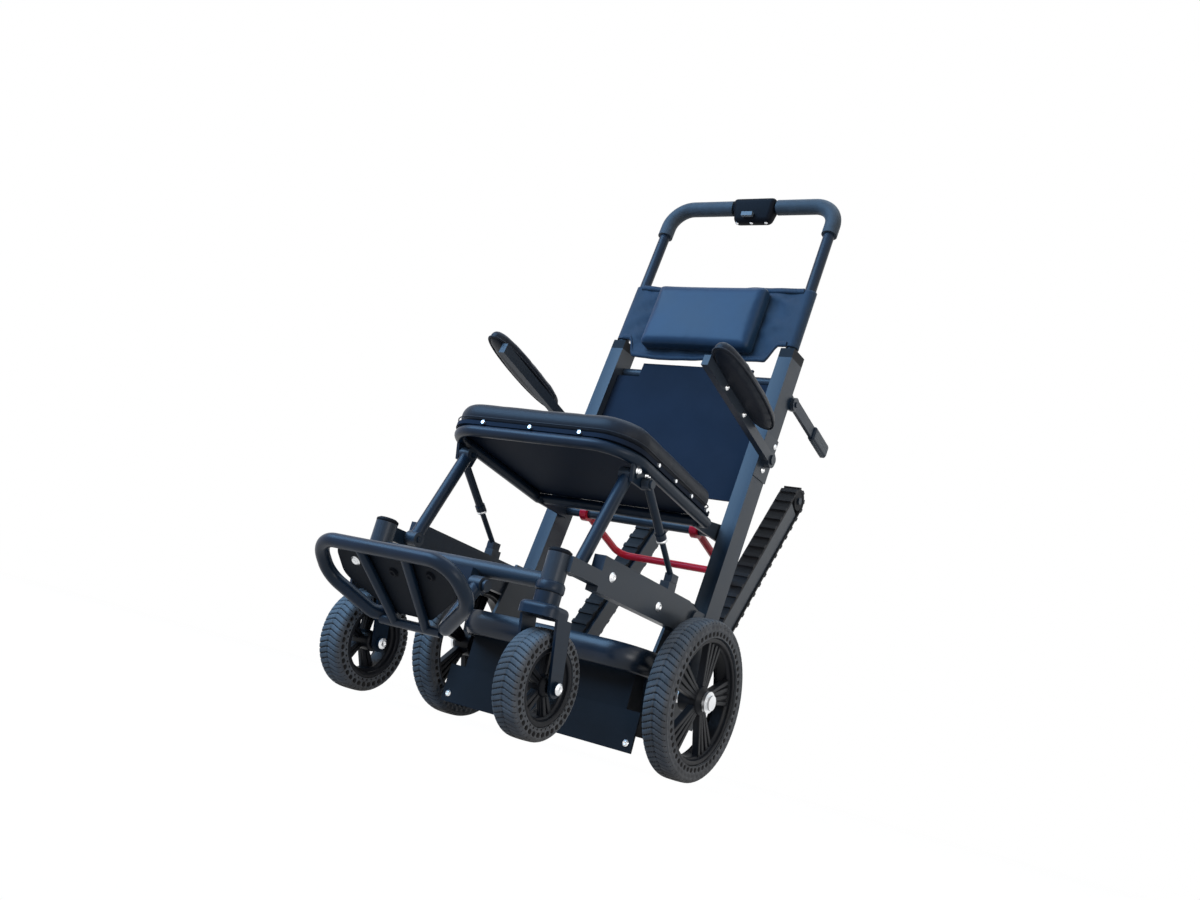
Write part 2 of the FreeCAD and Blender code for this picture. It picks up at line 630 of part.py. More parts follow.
def caster_fork():
    inner = STEM_X + CASTER_W / 2 + FORK_GAP
    outer = inner + FORK_WALL
    axle = (CASTER_Y, CASTER_R)
    crown = rounded(2 * STEM_X - outer, outer, STEM_Y - 30, STEM_Y + 32, CROWN_LOW, CROWN_TOP,
                    20)
    rims = [edge for edge in crown.Edges
            if min(vertex.Z for vertex in edge.Vertexes) > CROWN_TOP - 1]
    crown = crown.makeFillet(9, rims)
    cup = rod((STEM_X, STEM_Y, CROWN_TOP - 1), (STEM_X, STEM_Y, CROWN_TOP + CUP_H), CUP_R)
    pin = rod((STEM_X, STEM_Y, CROWN_TOP - 1), (STEM_X, STEM_Y, STEM_TOP - STEM_CLOSED - 2),
              STEM_R)
    outline = [(STEM_Y - 10, CROWN_LOW + 4), (STEM_Y + 31, CROWN_LOW + 4),
               (CASTER_Y + 15.5, CASTER_R + 4), (CASTER_Y - 15.5, CASTER_R - 4)]
    leg = fuse([plate(outline, inner, outer), cross(inner, outer, axle, 16)])
    legs = [leg, leg.mirror(vec(STEM_X, 0, 0), X_AXIS)]
    bolt = cross(2 * STEM_X - outer - 6, outer + 6, axle, CASTER_AXLE_R)
    heads = [cross(outer, outer + 6, axle, 11), cross(2 * STEM_X - outer - 6,
                                                       2 * STEM_X - outer, axle, 11)]
    return fuse([crown, cup, pin, bolt] + legs + heads)


# ---- footrest -----------------------------------------------------------------------
def foot_point(distance):
    lean = math.radians(FOOT_TILT)
    return (FOOT_CORNER[0] - distance * math.cos(lean), FOOT_CORNER[1] + distance * math.sin(lean))


def footrest_loop():
    x = FOOT_HANGER_X
    wide = foot_point(FOOT_DEPTH / 2)
    front = foot_point(FOOT_DEPTH)
    half = [(x, FOOT_PIVOT[0], FOOT_PIVOT[1]), (x, FOOT_CORNER[0], FOOT_CORNER[1]),
            (FOOT_HALF, wide[0], wide[1]), (FOOT_HALF - 12, front[0], front[1])]
    points = half + [(-px, py, pz) for px, py, pz in reversed(half)]
    bends = [FOOT_HEEL_BEND] + [FOOT_BEND] * 4 + [FOOT_HEEL_BEND]
    loop = bent_bar(points, bends, FOOT_TUBE_R)
    rear = cross(-x, x, FOOT_CORNER, FOOT_SLAT_R)
    slats = []
    for side in (-1, 1):
        start = (side * 34, ) + foot_point(0)
        end = (side * 50, ) + front
        slats.append(rod(start, end, FOOT_SLAT_R))
    barrels = [mirror(cross(x - FOOT_BARREL_HALF, x + FOOT_BARREL_HALF, FOOT_PIVOT,
                            FOOT_BARREL_R), side) for name, side in SIDES]
    body = fuse([loop, rear] + slats + barrels)
    return cut(body, cross(-200, 200, FOOT_PIVOT, LEG_PIN_R + RUNNING))


def footrest_plate():
    wide, front = FOOT_HALF - 30, FOOT_DEPTH - 14
    outline = [(-45, -14), (45, -14), (wide, -FOOT_DEPTH / 2), (wide - 8, -front),
               (-wide + 8, -front), (-wide, -FOOT_DEPTH / 2)]
    body = slab(outline, FOOT_SLAT_R, FOOT_SLAT_R + FOOT_PLATE_T)
    corners = [edge for edge in body.Edges
               if abs(edge.Vertexes[0].Z - edge.Vertexes[1].Z) > FOOT_PLATE_T / 2]
    body = body.makeFillet(26, corners)
    return tilt(body, FOOT_CORNER, -FOOT_TILT).cut(footrest_loop())


# ---- armrests, handle, levers -------------------------------------------------------
def armrest_bar():
    arm_out = ARM_IN + ARM_BAR_W
    bar = block(ARM_IN, arm_out, -ARM_LENGTH, 0, -ARM_BAR_H / 2, ARM_BAR_H / 2)
    eye = cross(ARM_IN, arm_out, (0, 0), 17)
    body = cut(fuse([bar, eye]), cross(ARM_IN - 1, arm_out + 1, (0, 0), LEG_PIN_R + RUNNING))
    return tilt(body, ARM_PIVOT, -ARM_TILT)


def armrest_pad():
    front = -ARM_LENGTH - 18
    body = rounded(ARM_IN, ARM_IN + PAD_W, front, front + PAD_LENGTH, ARM_BAR_H / 2,
                   ARM_BAR_H / 2 + PAD_T, 33)
    rims = [edge for edge in body.Edges
            if min(vertex.Z for vertex in edge.Vertexes) > ARM_BAR_H / 2 + PAD_T - 1]
    return tilt(body.makeFillet(9, rims), ARM_PIVOT, -ARM_TILT)


def handle_path(low):
    x = UPRIGHT_X
    y0, y1 = front_y(low, HANDLE_OFFSET), front_y(HANDLE_TOP, HANDLE_OFFSET)
    return [(x, y0, low), (x, y1, HANDLE_TOP), (-x, y1, HANDLE_TOP), (-x, y0, low)]


def push_handle():
    return bent_bar(handle_path(HANDLE_FOOT), HANDLE_BEND, HANDLE_R)


def pod_block():
    middle = front_y(HANDLE_TOP, HANDLE_OFFSET)
    return rounded(-50, 65, middle - 24, middle + 24, HANDLE_TOP - 43, HANDLE_TOP + 18, 10)


def handle_grip():
    foam = bent_bar(handle_path(GRIP_FOOT), HANDLE_BEND, GRIP_R)
    return cut(foam, push_handle(), pod_block())


def control_pod():
    bar = cross(-80, 80, (front_y(HANDLE_TOP, HANDLE_OFFSET), HANDLE_TOP), HANDLE_R + COPE)
    return cut(pod_block(), bar, switch_body(0.4, 0))


def switch_body(grow, back):
    face = front_y(HANDLE_TOP, HANDLE_OFFSET) - 24
    z = HANDLE_TOP - 28
    return block(-14 - grow, 14 + grow, face - 3 - grow, face + 8 + grow - back,
                 z - 5 - grow, z + 5 + grow)


def lift_lever():
    run = math.hypot(LEVER_END[0] - LEVER_PIVOT[0], LEVER_END[1] - LEVER_PIVOT[1])
    slope = math.degrees(math.atan2(LEVER_END[1] - LEVER_PIVOT[1],
                                    LEVER_END[0] - LEVER_PIVOT[0]))
    reach = run - LEVER_GRIP_LENGTH
    bar = block(LEVER_IN, LEVER_IN + LEVER_T, 0, reach, -LEVER_HALF, LEVER_HALF)
    eye = cross(LEVER_IN, LEVER_IN + LEVER_T, (0, 0), LEVER_HALF + 2)
    grip = block(LEVER_IN - 3, LEVER_IN + LEVER_T + 5, reach - 2, run, -LEVER_GRIP_HALF,
                 LEVER_GRIP_HALF)
    grip = grip.makeFillet(5, grip.Edges)
    body = cut(fuse([bar, eye, grip]), cross(200, 300, (0, 0), LEG_PIN_R + RUNNING))
    return tilt(body, LEVER_PIVOT, slope)


def prop_frame():
    y, z = SEAT_PIVOT
    start = (y + 12, z - 3.2)
    points = [(PROP_X, ) + start, (PROP_X, ) + PROP_END, (-PROP_X, ) + PROP_END,
              (-PROP_X, ) + start]
    eyes = [mirror(cross(PROP_X - 8, PROP_X + 8, SEAT_PIVOT, 17), side) for name, side in SIDES]
    body = fuse([bent_bar(points, 30, PROP_R)] + eyes)
    return cut(body, cross(-200, 200, SEAT_PIVOT, CROSS_SHAFT_R + RUNNING))


# ---- crawler track ------------------------------------------------------------------
def racetrack(radius, x0, x1):
    return fuse([block(x0, x1, 0, TRACK_LENGTH, -radius, radius),
                 cross(x0, x1, (0, 0), radius), cross(x0, x1, (TRACK_LENGTH, 0), radius)])


def track_belt():
    x0, x1 = TRACK_IN, TRACK_IN + TRACK_W
    body = racetrack(BELT_R, x0, x1).cut(racetrack(BELT_R - BELT_T, x0 - 1, x1 + 1))
    cleats = []
    count = int(TRACK_LENGTH // 30)
    for index in range(count + 1):
        along = TRACK_LENGTH * index / count
        cleat = block(x0, x1, along - CLEAT_HALF, along + CLEAT_HALF, BELT_R - 1,
                      BELT_R + CLEAT_H)
        cleats += [cleat, cleat.mirror(vec(0, 0, 0), vec(0, 0, 1))]
    for index in range(1, 4):
        cleat = block(x0, x1, -CLEAT_HALF, CLEAT_HALF, BELT_R - 1, BELT_R + CLEAT_H)
        top = cleat.copy()
        top.rotate(vec(0, 0, 0), X_AXIS, -45 * index)
        top.translate(vec(0, TRACK_LENGTH, 0))
        low = cleat.copy()
        low.rotate(vec(0, 0, 0), X_AXIS, 45 * index)
        cleats += [top, low]
    return tilt(fuse([body] + cleats), TRACK_PIVOT, TRACK_ANGLE)


def track_rail():
    inner = BELT_R - BELT_T
    x0, x1 = TRACK_IN - 1 - CHEEK_T, TRACK_IN - 1
    cheek = fuse([block(x0, x1, 0, TRACK_LENGTH, -CHEEK_HALF, CHEEK_HALF),
                  cross(x0, x1, (0, 0), CHEEK_HALF),
                  cross(x0, x1, (TRACK_LENGTH, 0), CHEEK_HALF)])
    beam = block(TRACK_IN - 1, TRACK_IN + TRACK_W - 3, inner + 4, TRACK_LENGTH - inner - 4,
                 -inner + SIDE_GAP, inner - SIDE_GAP)
    spindle = cross(TRACK_IN - 2, TRACK_IN + TRACK_W + 3, (TRACK_LENGTH, 0), TRACK_SHAFT_R)
    body = cut(fuse([cheek, beam, spindle]),
               cross(0, 300, (0, 0), TRACK_SHAFT_R + RUNNING))
    return tilt(body, TRACK_PIVOT, TRACK_ANGLE)


def track_pulley(along):
    x0, x1 = TRACK_IN + 1, TRACK_IN + TRACK_W - 1
    body = ring_x(x0, x1, (0, 0), BELT_R - BELT_T - SIDE_GAP, TRACK_SHAFT_R + RUNNING)
    place = (TRACK_PIVOT[0] + along * math.cos(math.radians(TRACK_ANGLE)),
             TRACK_PIVOT[1] + along * math.sin(math.radians(TRACK_ANGLE)))
    return tilt(body, place, TRACK_ANGLE)


# ---- assembly -----------------------------------------------------------------------
def all_pieces():
    pieces = {
        "upright_caps": both(cap()), "upper_crossbar": upper_crossbar(),
        "lower_crossbar": lower_crossbar(), "back_panel": back_panel(),
        "back_sling": back_sling(), "headrest_pad": headrest_pad(),
        "drive_housing": drive_housing(), "kick_plate": kick_plate(),
        "bumper_band": bumper_band(), "battery_pack": battery_pack(),
        "gearbox": gearbox(), "drive_motor": drive_motor(), "rear_axle": rear_axle(),
        "hanger_plates": both(hanger_plate()), "beam_brackets": both(beam_bracket()),
        "track_shaft": track_shaft(), "front_crossbar": front_crossbar(),
        "hinge_block": hinge_block(), "front_legs": both(front_leg()),
        "seat_frame": seat_frame(), "seat_board": seat_board(),
        "seat_cushion": seat_cushion(), "seat_brackets": seat_brackets(),
        "seat_rivets": seat_rivets(), "footrest_loop": footrest_loop(),
        "footrest_plate": footrest_plate(), "push_handle": push_handle(),
        "handle_grip": handle_grip(), "control_pod": control_pod(),
        "control_switch": switch_body(0, 1.5), "prop_frame": prop_frame(),
        "track_rails": both(track_rail()), "track_belts": both(track_belt()),
        "drive_pulleys": both(track_pulley(0)), "idler_pulleys": both(track_pulley(TRACK_LENGTH)),
    }
    caster_axle = (CASTER_Y, CASTER_R)
    sided = {
        "upright": upright(), "side_beam": side_beam(), "stem_tube": stem_tube(),
        "strut": strut(), "caster_fork": caster_fork(), "armrest_bar": armrest_bar(),
        "armrest_pad": armrest_pad(), "lift_lever": lift_lever(),
        "rear_tyre": tyre(REAR_WHEEL_X, AXLE, REAR_WHEEL_R, REAR_WHEEL_W, REAR_RIM_R,
                          REAR_TYRE_HOLES, TYRE_HOLE_R),
        "rear_rim": rim(REAR_WHEEL_X, AXLE, REAR_RIM_R, REAR_WHEEL_W, AXLE_R + RUNNING,
                        REAR_HUB_R, SPOKES, 9),
        "caster_tyre": tyre(STEM_X, caster_axle, CASTER_R, CASTER_W, CASTER_RIM_R,
                            CASTER_TYRE_HOLES, TYRE_HOLE_R),
        "caster_rim": rim(STEM_X, caster_axle, CASTER_RIM_R, CASTER_W + 4,
                          CASTER_AXLE_R + RUNNING, CASTER_HUB_R, SPOKES, 8),
    }
    for stem, shape in sided.items():
        for name, side in SIDES:
            pieces[stem + "_" + name] = mirror(shape, side)
    return pieces


def main():
    pieces = all_pieces()
    box = FreeCAD.BoundBox()
    for shape in pieces.values():
        box.add(shape.optimalBoundingBox(False, False))
    shift = vec(0, -(box.YMin + box.YMax) / 2, 0)
    os.makedirs("parts", exist_ok=True)
    for node, shape in pieces.items():
        shape.translate(shift)
        shape.exportStep("parts/" + node + ".step")
    print("shift", round(shift.y, 4), "nodes", len(pieces))
    print("size", [round(length, 1) for length in (box.XLength, box.YLength, box.ZLength)])
    for node, shape in pieces.items():
        if not shape.isValid():
            print("not valid:", node)


main()
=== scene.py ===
"""Looks of the folding stair chair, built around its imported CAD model.  Metres throughout."""
import json
import math

import bmesh
import bpy
from mathutils import Matrix, Vector, noise


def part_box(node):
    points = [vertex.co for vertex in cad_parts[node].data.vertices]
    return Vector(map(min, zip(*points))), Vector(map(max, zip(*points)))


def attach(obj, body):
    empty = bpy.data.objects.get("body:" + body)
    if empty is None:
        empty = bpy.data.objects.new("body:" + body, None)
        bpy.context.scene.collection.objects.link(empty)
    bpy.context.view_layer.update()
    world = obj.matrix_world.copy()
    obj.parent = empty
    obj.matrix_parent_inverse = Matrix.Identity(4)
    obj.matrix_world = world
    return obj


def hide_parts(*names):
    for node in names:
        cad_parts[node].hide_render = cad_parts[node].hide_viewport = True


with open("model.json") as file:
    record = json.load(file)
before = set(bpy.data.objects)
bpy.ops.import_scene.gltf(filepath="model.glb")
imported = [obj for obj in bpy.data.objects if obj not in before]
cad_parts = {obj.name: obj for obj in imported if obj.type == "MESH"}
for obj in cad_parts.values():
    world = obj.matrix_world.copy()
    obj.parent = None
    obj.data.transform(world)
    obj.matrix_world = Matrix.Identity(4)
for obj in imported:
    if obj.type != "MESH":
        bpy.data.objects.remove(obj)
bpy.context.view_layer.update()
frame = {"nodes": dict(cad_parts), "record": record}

# ---- places read from the frame -------------------------------------------------------
AXLE_LOW, AXLE_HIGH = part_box("rear_tyre_left")
AXLE_Y = (AXLE_LOW.y + AXLE_HIGH.y) / 2
LEAN = 0.155                      # run of the uprights per unit of rise
LEAN_ANGLE = math.atan(LEAN)
SEAT_TILT = math.radians(5)       # the seat leans back about the heads of the front legs
UPRIGHT_W = 0.032                 # width of an upright across the chair
UPRIGHT_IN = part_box("upright_left")[0].x
UPRIGHT_OUT = UPRIGHT_IN + UPRIGHT_W
UPRIGHT_X = UPRIGHT_IN + UPRIGHT_W / 2
FACE_Y, FACE_Z = 0.075, 0.490     # a point of the uprights' front face, behind the axle
SLING_LOW = 0.924                 # where the cloth's sleeves end
SLING_FLAP_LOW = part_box("back_sling")[0].z + 0.001
SLING_FLAP_HALF = 0.190
SIDES = (("left", 1), ("right", -1))


def front_y(z, offset=0.0):
    """Y of the uprights' front face at a height."""
    return AXLE_Y + FACE_Y + LEAN * (z - FACE_Z) + offset


# ---- materials --------------------------------------------------------------------------
def shift_colour(colour, factor):
    return tuple(min(1.0, max(0.0, part * factor)) for part in colour[:3]) + (1.0,)


def surface(name, colour, roughness, metallic=0.0, patch=30.0, vary=0.18, grain="noise",
            grain_scale=600.0, bump=0.08, coat=0.0, coat_roughness=0.1, sheen=0.0,
            wear=0.0, wear_colour=(0.3, 0.3, 0.32), specular=0.5):
    """Principled material with patchy colour, uneven gloss, fine relief and worn edges."""
    material = bpy.data.materials.new(name)
    material.use_nodes = True
    nodes, links = material.node_tree.nodes, material.node_tree.links
    shader = nodes["Principled BSDF"]
    shader.inputs["Metallic"].default_value = metallic
    shader.inputs["Coat Weight"].default_value = coat
    shader.inputs["Coat Roughness"].default_value = coat_roughness
    shader.inputs["Sheen Weight"].default_value = sheen
    shader.inputs["Sheen Roughness"].default_value = 0.4
    shader.inputs["Specular IOR Level"].default_value = specular
    place = nodes.new("ShaderNodeTexCoord")
    patches = nodes.new("ShaderNodeTexNoise")
    patches.inputs["Scale"].default_value = patch
    patches.inputs["Detail"].default_value = 6.0
    links.new(place.outputs["Object"], patches.inputs["Vector"])
    ramp = nodes.new("ShaderNodeValToRGB")
    ramp.color_ramp.elements[0].position = 0.3
    ramp.color_ramp.elements[1].position = 0.7
    ramp.color_ramp.elements[0].color = shift_colour(colour, 1 - vary)
    ramp.color_ramp.elements[1].color = shift_colour(colour, 1 + vary)
    links.new(patches.outputs["Fac"], ramp.inputs["Fac"])
    tint = ramp.outputs["Color"]
    if wear:
        edges = nodes.new("ShaderNodeNewGeometry")
        scuff = nodes.new("ShaderNodeMapRange")
        scuff.inputs["From Min"].default_value = 0.54
        scuff.inputs["From Max"].default_value = 0.62
        scuff.inputs["To Max"].default_value = wear
        links.new(edges.outputs["Pointiness"], scuff.inputs["Value"])
        mix = nodes.new("ShaderNodeMix")
        mix.data_type = "RGBA"
        links.new(scuff.outputs["Result"], mix.inputs["Factor"])
        links.new(tint, mix.inputs["A"])
        mix.inputs["B"].default_value = tuple(wear_colour) + (1.0,)
        tint = mix.outputs["Result"]
    links.new(tint, shader.inputs["Base Color"])
    gloss = nodes.new("ShaderNodeMapRange")
    gloss.inputs["To Min"].default_value = max(0.03, roughness - 0.07)
    gloss.inputs["To Max"].default_value = min(1.0, roughness + 0.07)
    links.new(patches.outputs["Fac"], gloss.inputs["Value"])
    links.new(gloss.outputs["Result"], shader.inputs["Roughness"])
    relief = relief_height(nodes, links, place, grain, grain_scale)
    lift = nodes.new("ShaderNodeBump")
    lift.inputs["Strength"].default_value = bump
    lift.inputs["Distance"].default_value = 0.001
    links.new(relief, lift.inputs["Height"])
    links.new(lift.outputs["Normal"], shader.inputs["Normal"])
    return material


def relief_height(nodes, links, place, grain, scale):
    """Height field of the named kind: noise, leather or weave."""
    if grain == "leather":
        cells = nodes.new("ShaderNodeTexVoronoi")
        cells.inputs["Scale"].default_value = scale
        links.new(place.outputs["Object"], cells.inputs["Vector"])
        return cells.outputs["Distance"]
    if grain == "weave":
        bands = []
        for direction in ("X", "Z"):
            wave = nodes.new("ShaderNodeTexWave")
            wave.bands_direction = direction
            wave.inputs["Scale"].default_value = scale
            wave.inputs["Distortion"].default_value = 0.6
            links.new(place.outputs["Object"], wave.inputs["Vector"])
            bands.append(wave.outputs["Fac"])
        product = nodes.new("ShaderNodeMath")
        product.operation = "MULTIPLY"
        links.new(bands[0], product.inputs[0])
        links.new(bands[1], product.inputs[1])
        return product.outputs["Value"]
    speckle = nodes.new("ShaderNodeTexNoise")
    speckle.inputs["Scale"].default_value = scale
    speckle.inputs["Detail"].default_value = 4.0
    links.new(place.outputs["Object"], speckle.inputs["Vector"])
    return speckle.outputs["Fac"]


MATERIALS = {
    # Near-black powder coat; the blue in its base colour is partly painted reflection, standing in
    # for the blue sky sheen that its low specular level leaves out.
    "powder_coat": surface("powder_coat", (0.009, 0.020, 0.036), 0.36, patch=18, grain_scale=900,
                           bump=0.05, coat=0.03, coat_roughness=0.25, specular=0.17, wear=0.35,
                           wear_colour=(0.10, 0.11, 0.12)),
    "vinyl": surface("vinyl", (0.019, 0.023, 0.031), 0.42, patch=9, grain="leather",
                     grain_scale=1100, bump=0.10, sheen=0.05, specular=0.12),
    "headrest_vinyl": surface("headrest_vinyl", (0.014, 0.040, 0.078), 0.42, patch=9,
                              grain="leather", grain_scale=1100, bump=0.08, sheen=0.05,
                              specular=0.2),
    "sling_cloth": surface("sling_cloth", (0.015, 0.036, 0.066), 0.5, patch=14, grain="weave",
                           grain_scale=320, bump=0.25, sheen=0.12, specular=0.18),
    "panel_sheet": surface("panel_sheet", (0.018, 0.025, 0.040), 0.58, patch=7,
                           grain_scale=700, bump=0.05, specular=0.03),
    "black_plastic": surface("black_plastic", (0.008, 0.009, 0.012), 0.5, patch=25,
                             grain_scale=1500, bump=0.10, wear=0.2,
                             wear_colour=(0.08, 0.085, 0.09), specular=0.05),
    "gloss_black": surface("gloss_black", (0.010, 0.018, 0.030), 0.32, patch=12,
                           grain_scale=200, bump=0.02, coat=0.06, coat_roughness=0.24,
                           specular=0.25),
    "grey_plastic": surface("grey_plastic", (0.085, 0.105, 0.12), 0.5, patch=40,
                            grain_scale=1200, bump=0.12),
    "foam_grip": surface("foam_grip", (0.050, 0.064, 0.078), 0.55, patch=60,
                         grain_scale=1400, bump=0.25, sheen=0.08, specular=0.2),
    "tyre": surface("tyre", (0.140, 0.142, 0.146), 0.66, patch=35, vary=0.25,
                    grain_scale=500, bump=0.18, wear=0.35, wear_colour=(0.15, 0.155, 0.16),
                    specular=0.12),
    "rim_black": surface("rim_black", (0.014, 0.015, 0.018), 0.36, patch=25, grain_scale=900,
                         bump=0.06, wear=0.2, wear_colour=(0.07, 0.075, 0.08), specular=0.12),
    "steel": surface("steel", (0.76, 0.77, 0.78), 0.36, metallic=1.0, patch=50, vary=0.1,
                     grain_scale=800, bump=0.04),
    "red_paint": surface("red_paint", (0.96, 0.020, 0.045), 0.32, patch=14, vary=0.04,
                         grain_scale=300, bump=0.03, coat=0.08, coat_roughness=0.2,
                         specular=0.2),
    "cast_metal": surface("cast_metal", (0.40, 0.41, 0.43), 0.5, metallic=0.9, patch=40,
                          grain_scale=500, bump=0.3),
    "belt_rubber": surface("belt_rubber", (0.022, 0.023, 0.025), 0.62, patch=30,
                           grain_scale=700, bump=0.2, wear=0.3,
                           wear_colour=(0.10, 0.10, 0.105), specular=0.1),
}
# Painted shade: a near-black material for the walls of the through holes and the floors of the
# tread grooves, where the rubber itself is no darker.
HOLE_PAINTED_SHADE = surface("hole_painted_shade", (0.006, 0.006, 0.007), 0.8, grain_scale=900)


def dress_cad_nodes():
    for row in frame["record"]["subparts"]:
        node = frame["nodes"][row["node"]]
        node.data.materials.clear()
        node.data.materials.append(MATERIALS[row["material_slot"]])


# ---- mesh helpers -----------------------------------------------------------------------
def piece(name, vertices, faces, slot, body, smooth=True, replaced=(), weld=False):
    mesh = bpy.data.meshes.new(name)
    mesh.from_pydata(vertices, [], faces)
    mesh.validate()
    mesh.update()
    tidy = bmesh.new()
    tidy.from_mesh(mesh)
    if weld:
        bmesh.ops.remove_doubles(tidy, verts=tidy.verts, dist=0.00002)
    bmesh.ops.recalc_face_normals(tidy, faces=tidy.faces)
    tidy.to_mesh(mesh)
    tidy.free()
    mesh.polygons.foreach_set("use_smooth", [smooth] * len(mesh.polygons))
    obj = bpy.data.objects.new(name, mesh)
    bpy.context.scene.collection.objects.link(obj)
    mesh.materials.append(MATERIALS[slot])
    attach(obj, body)
    if replaced:
        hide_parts(*replaced)
    return obj


def quads(rows, columns, round_rows=False, round_columns=False):
    """Faces of a net of points stored row by row, joined end to end where it is round."""
    faces = []
    for row in range(rows if round_rows else rows - 1):
        here, there = row * columns, (row + 1) % rows * columns
        for k in range(columns if round_columns else columns - 1):
            n = (k + 1) % columns
            faces.append((here + k, here + n, there + n, there + k))
    return faces


def moved(matrix, vertices):
    return [tuple(matrix @ Vector(vertex)) for vertex in vertices]


def aimed(place, axis):
    """Matrix that turns +X to the axis and moves the origin to the place."""
    turn = Vector((1, 0, 0)).rotation_difference(Vector(axis)).to_matrix().to_4x4()
    return Matrix.Translation(Vector(place)) @ turn


def spin(profile, centre, segments):
    """Vertices and faces of an (x, radius) profile turned about X through the centre."""
    vertices = []
    for step in range(segments):
        turn = 2 * math.pi * step / segments
        for x, radius in profile:
            vertices.append((centre[0] + x, centre[1] + radius * math.cos(turn),
                             centre[2] + radius * math.sin(turn)))
    return vertices, quads(segments, len(profile), round_rows=True)


def merge(parts):
    vertices, faces = [], []
    for more_vertices, more_faces in parts:
        base = len(vertices)
        vertices += more_vertices
        faces += [tuple(base + index for index in face) for face in more_faces]
    return vertices, faces


def bevelled(obj, width, segments=3):
    modifier = obj.modifiers.new("edges", "BEVEL")
    modifier.width = width
    modifier.segments = segments
    modifier.limit_method = "ANGLE"
    return obj


def block(corners):
    """Hexahedron from eight corners: four below, then four above, in the same order."""
    faces = [(3, 2, 1, 0), (4, 5, 6, 7), (0, 1, 5, 4), (1, 2, 6, 5), (2, 3, 7, 6), (3, 0, 4, 7)]
    return [tuple(corner) for corner in corners], faces


# ---- tyres ------------------------------------------------------------------------------
WHEEL_SIDES = 96                  # sides of the round parts of a wheel
TREAD_POINTS = 29                 # points across a tread
TREAD_STEPS = 10                  # steps round the wheel for each block of tread
TREAD_DEPTH = 0.0024              # depth of a groove
TREAD_CROWN = 0.0012              # how much lower the tread is at its edges
SHOULDER_SHARE = 0.17             # radius of the shoulder as a share of the width
CHEVRON_LEAN = 0.9                # steps that a chevron runs back from middle to edge
GROOVE_PHASE = 0.2                # share of a block that is groove
GROOVE_MIDDLE = 0.03              # half-width of the groove round the middle
GROOVE_SPAN = (0.06, 0.93)        # where the chevrons start and end across the tread
HOLE_INSET = 0.0006               # the rims of the holes are drawn in by this


def in_groove(step, point):
    """True where the chevron pattern of a tread is cut down."""
    share = abs(-1 + 2 * point / (TREAD_POINTS - 1))
    phase = (step / TREAD_STEPS - share * CHEVRON_LEAN) % 1.0
    chevron = phase < GROOVE_PHASE and GROOVE_SPAN[0] < share < GROOVE_SPAN[1]
    return share < GROOVE_MIDDLE or chevron


def tread(centre, radius, width, blocks):
    """Crowned tread with chevron grooves cut as real relief."""
    around = blocks * TREAD_STEPS
    shoulder = width * SHOULDER_SHARE
    vertices = []
    for step in range(around):
        turn = 2 * math.pi * step / around
        for k in range(TREAD_POINTS):
            share = -1 + 2 * k / (TREAD_POINTS - 1)
            x = share * width / 2
            inset = max(0.0, abs(x) - (width / 2 - shoulder))
            drop = shoulder - math.sqrt(max(0.0, shoulder ** 2 - inset ** 2))
            crown = TREAD_CROWN * share * share
            lower = TREAD_DEPTH if in_groove(step, k) else 0.0
            r = radius - drop - crown - lower
            vertices.append((centre[0] + x, centre[1] + r * math.cos(turn),
                             centre[2] + r * math.sin(turn)))
    return vertices, quads(around, TREAD_POINTS, round_rows=True)


def pierced_wall(centre, width, inner, outer, count, hole_t, hole_r, phase):
    """Both side walls of a ring with through holes, and the walls of the holes."""
    vertices, faces = [], []
    span = 2 * math.pi / count
    middle = (inner + outer) / 2
    half_t, half_r = span * middle / 2, (outer - inner) / 2
    shares = (-1, -0.5, 0, 0.5)
    ring = [(share * half_t, -half_r) for share in shares]
    ring += [(half_t, share * half_r) for share in shares]
    ring += [(-share * half_t, half_r) for share in shares]
    ring += [(-half_t, -share * half_r) for share in shares]
    sides = len(ring)
    for index in range(count):
        base_turn = span * (index + phase)
        base = len(vertices)
        for side in (-1, 1):
            for outline in ("edge", "hole"):
                for t, r in ring:
                    x = side * width / 2
                    if outline == "hole":
                        angle = math.atan2(r / half_r, t / half_t)
                        t, r = hole_t * math.cos(angle), hole_r * math.sin(angle)
                        x = side * (width / 2 - HOLE_INSET)
                    reach = middle + r
                    turn = base_turn + t / middle
                    vertices.append((centre[0] + x, centre[1] + reach * math.cos(turn),
                                     centre[2] + reach * math.sin(turn)))
        for k in range(sides):
            n = (k + 1) % sides
            for start in (0, 2 * sides):
                faces.append((base + start + k, base + start + n,
                              base + start + sides + n, base + start + sides + k))
            faces.append((base + sides + k, base + sides + n,
                          base + 3 * sides + n, base + 3 * sides + k))
    return vertices, faces


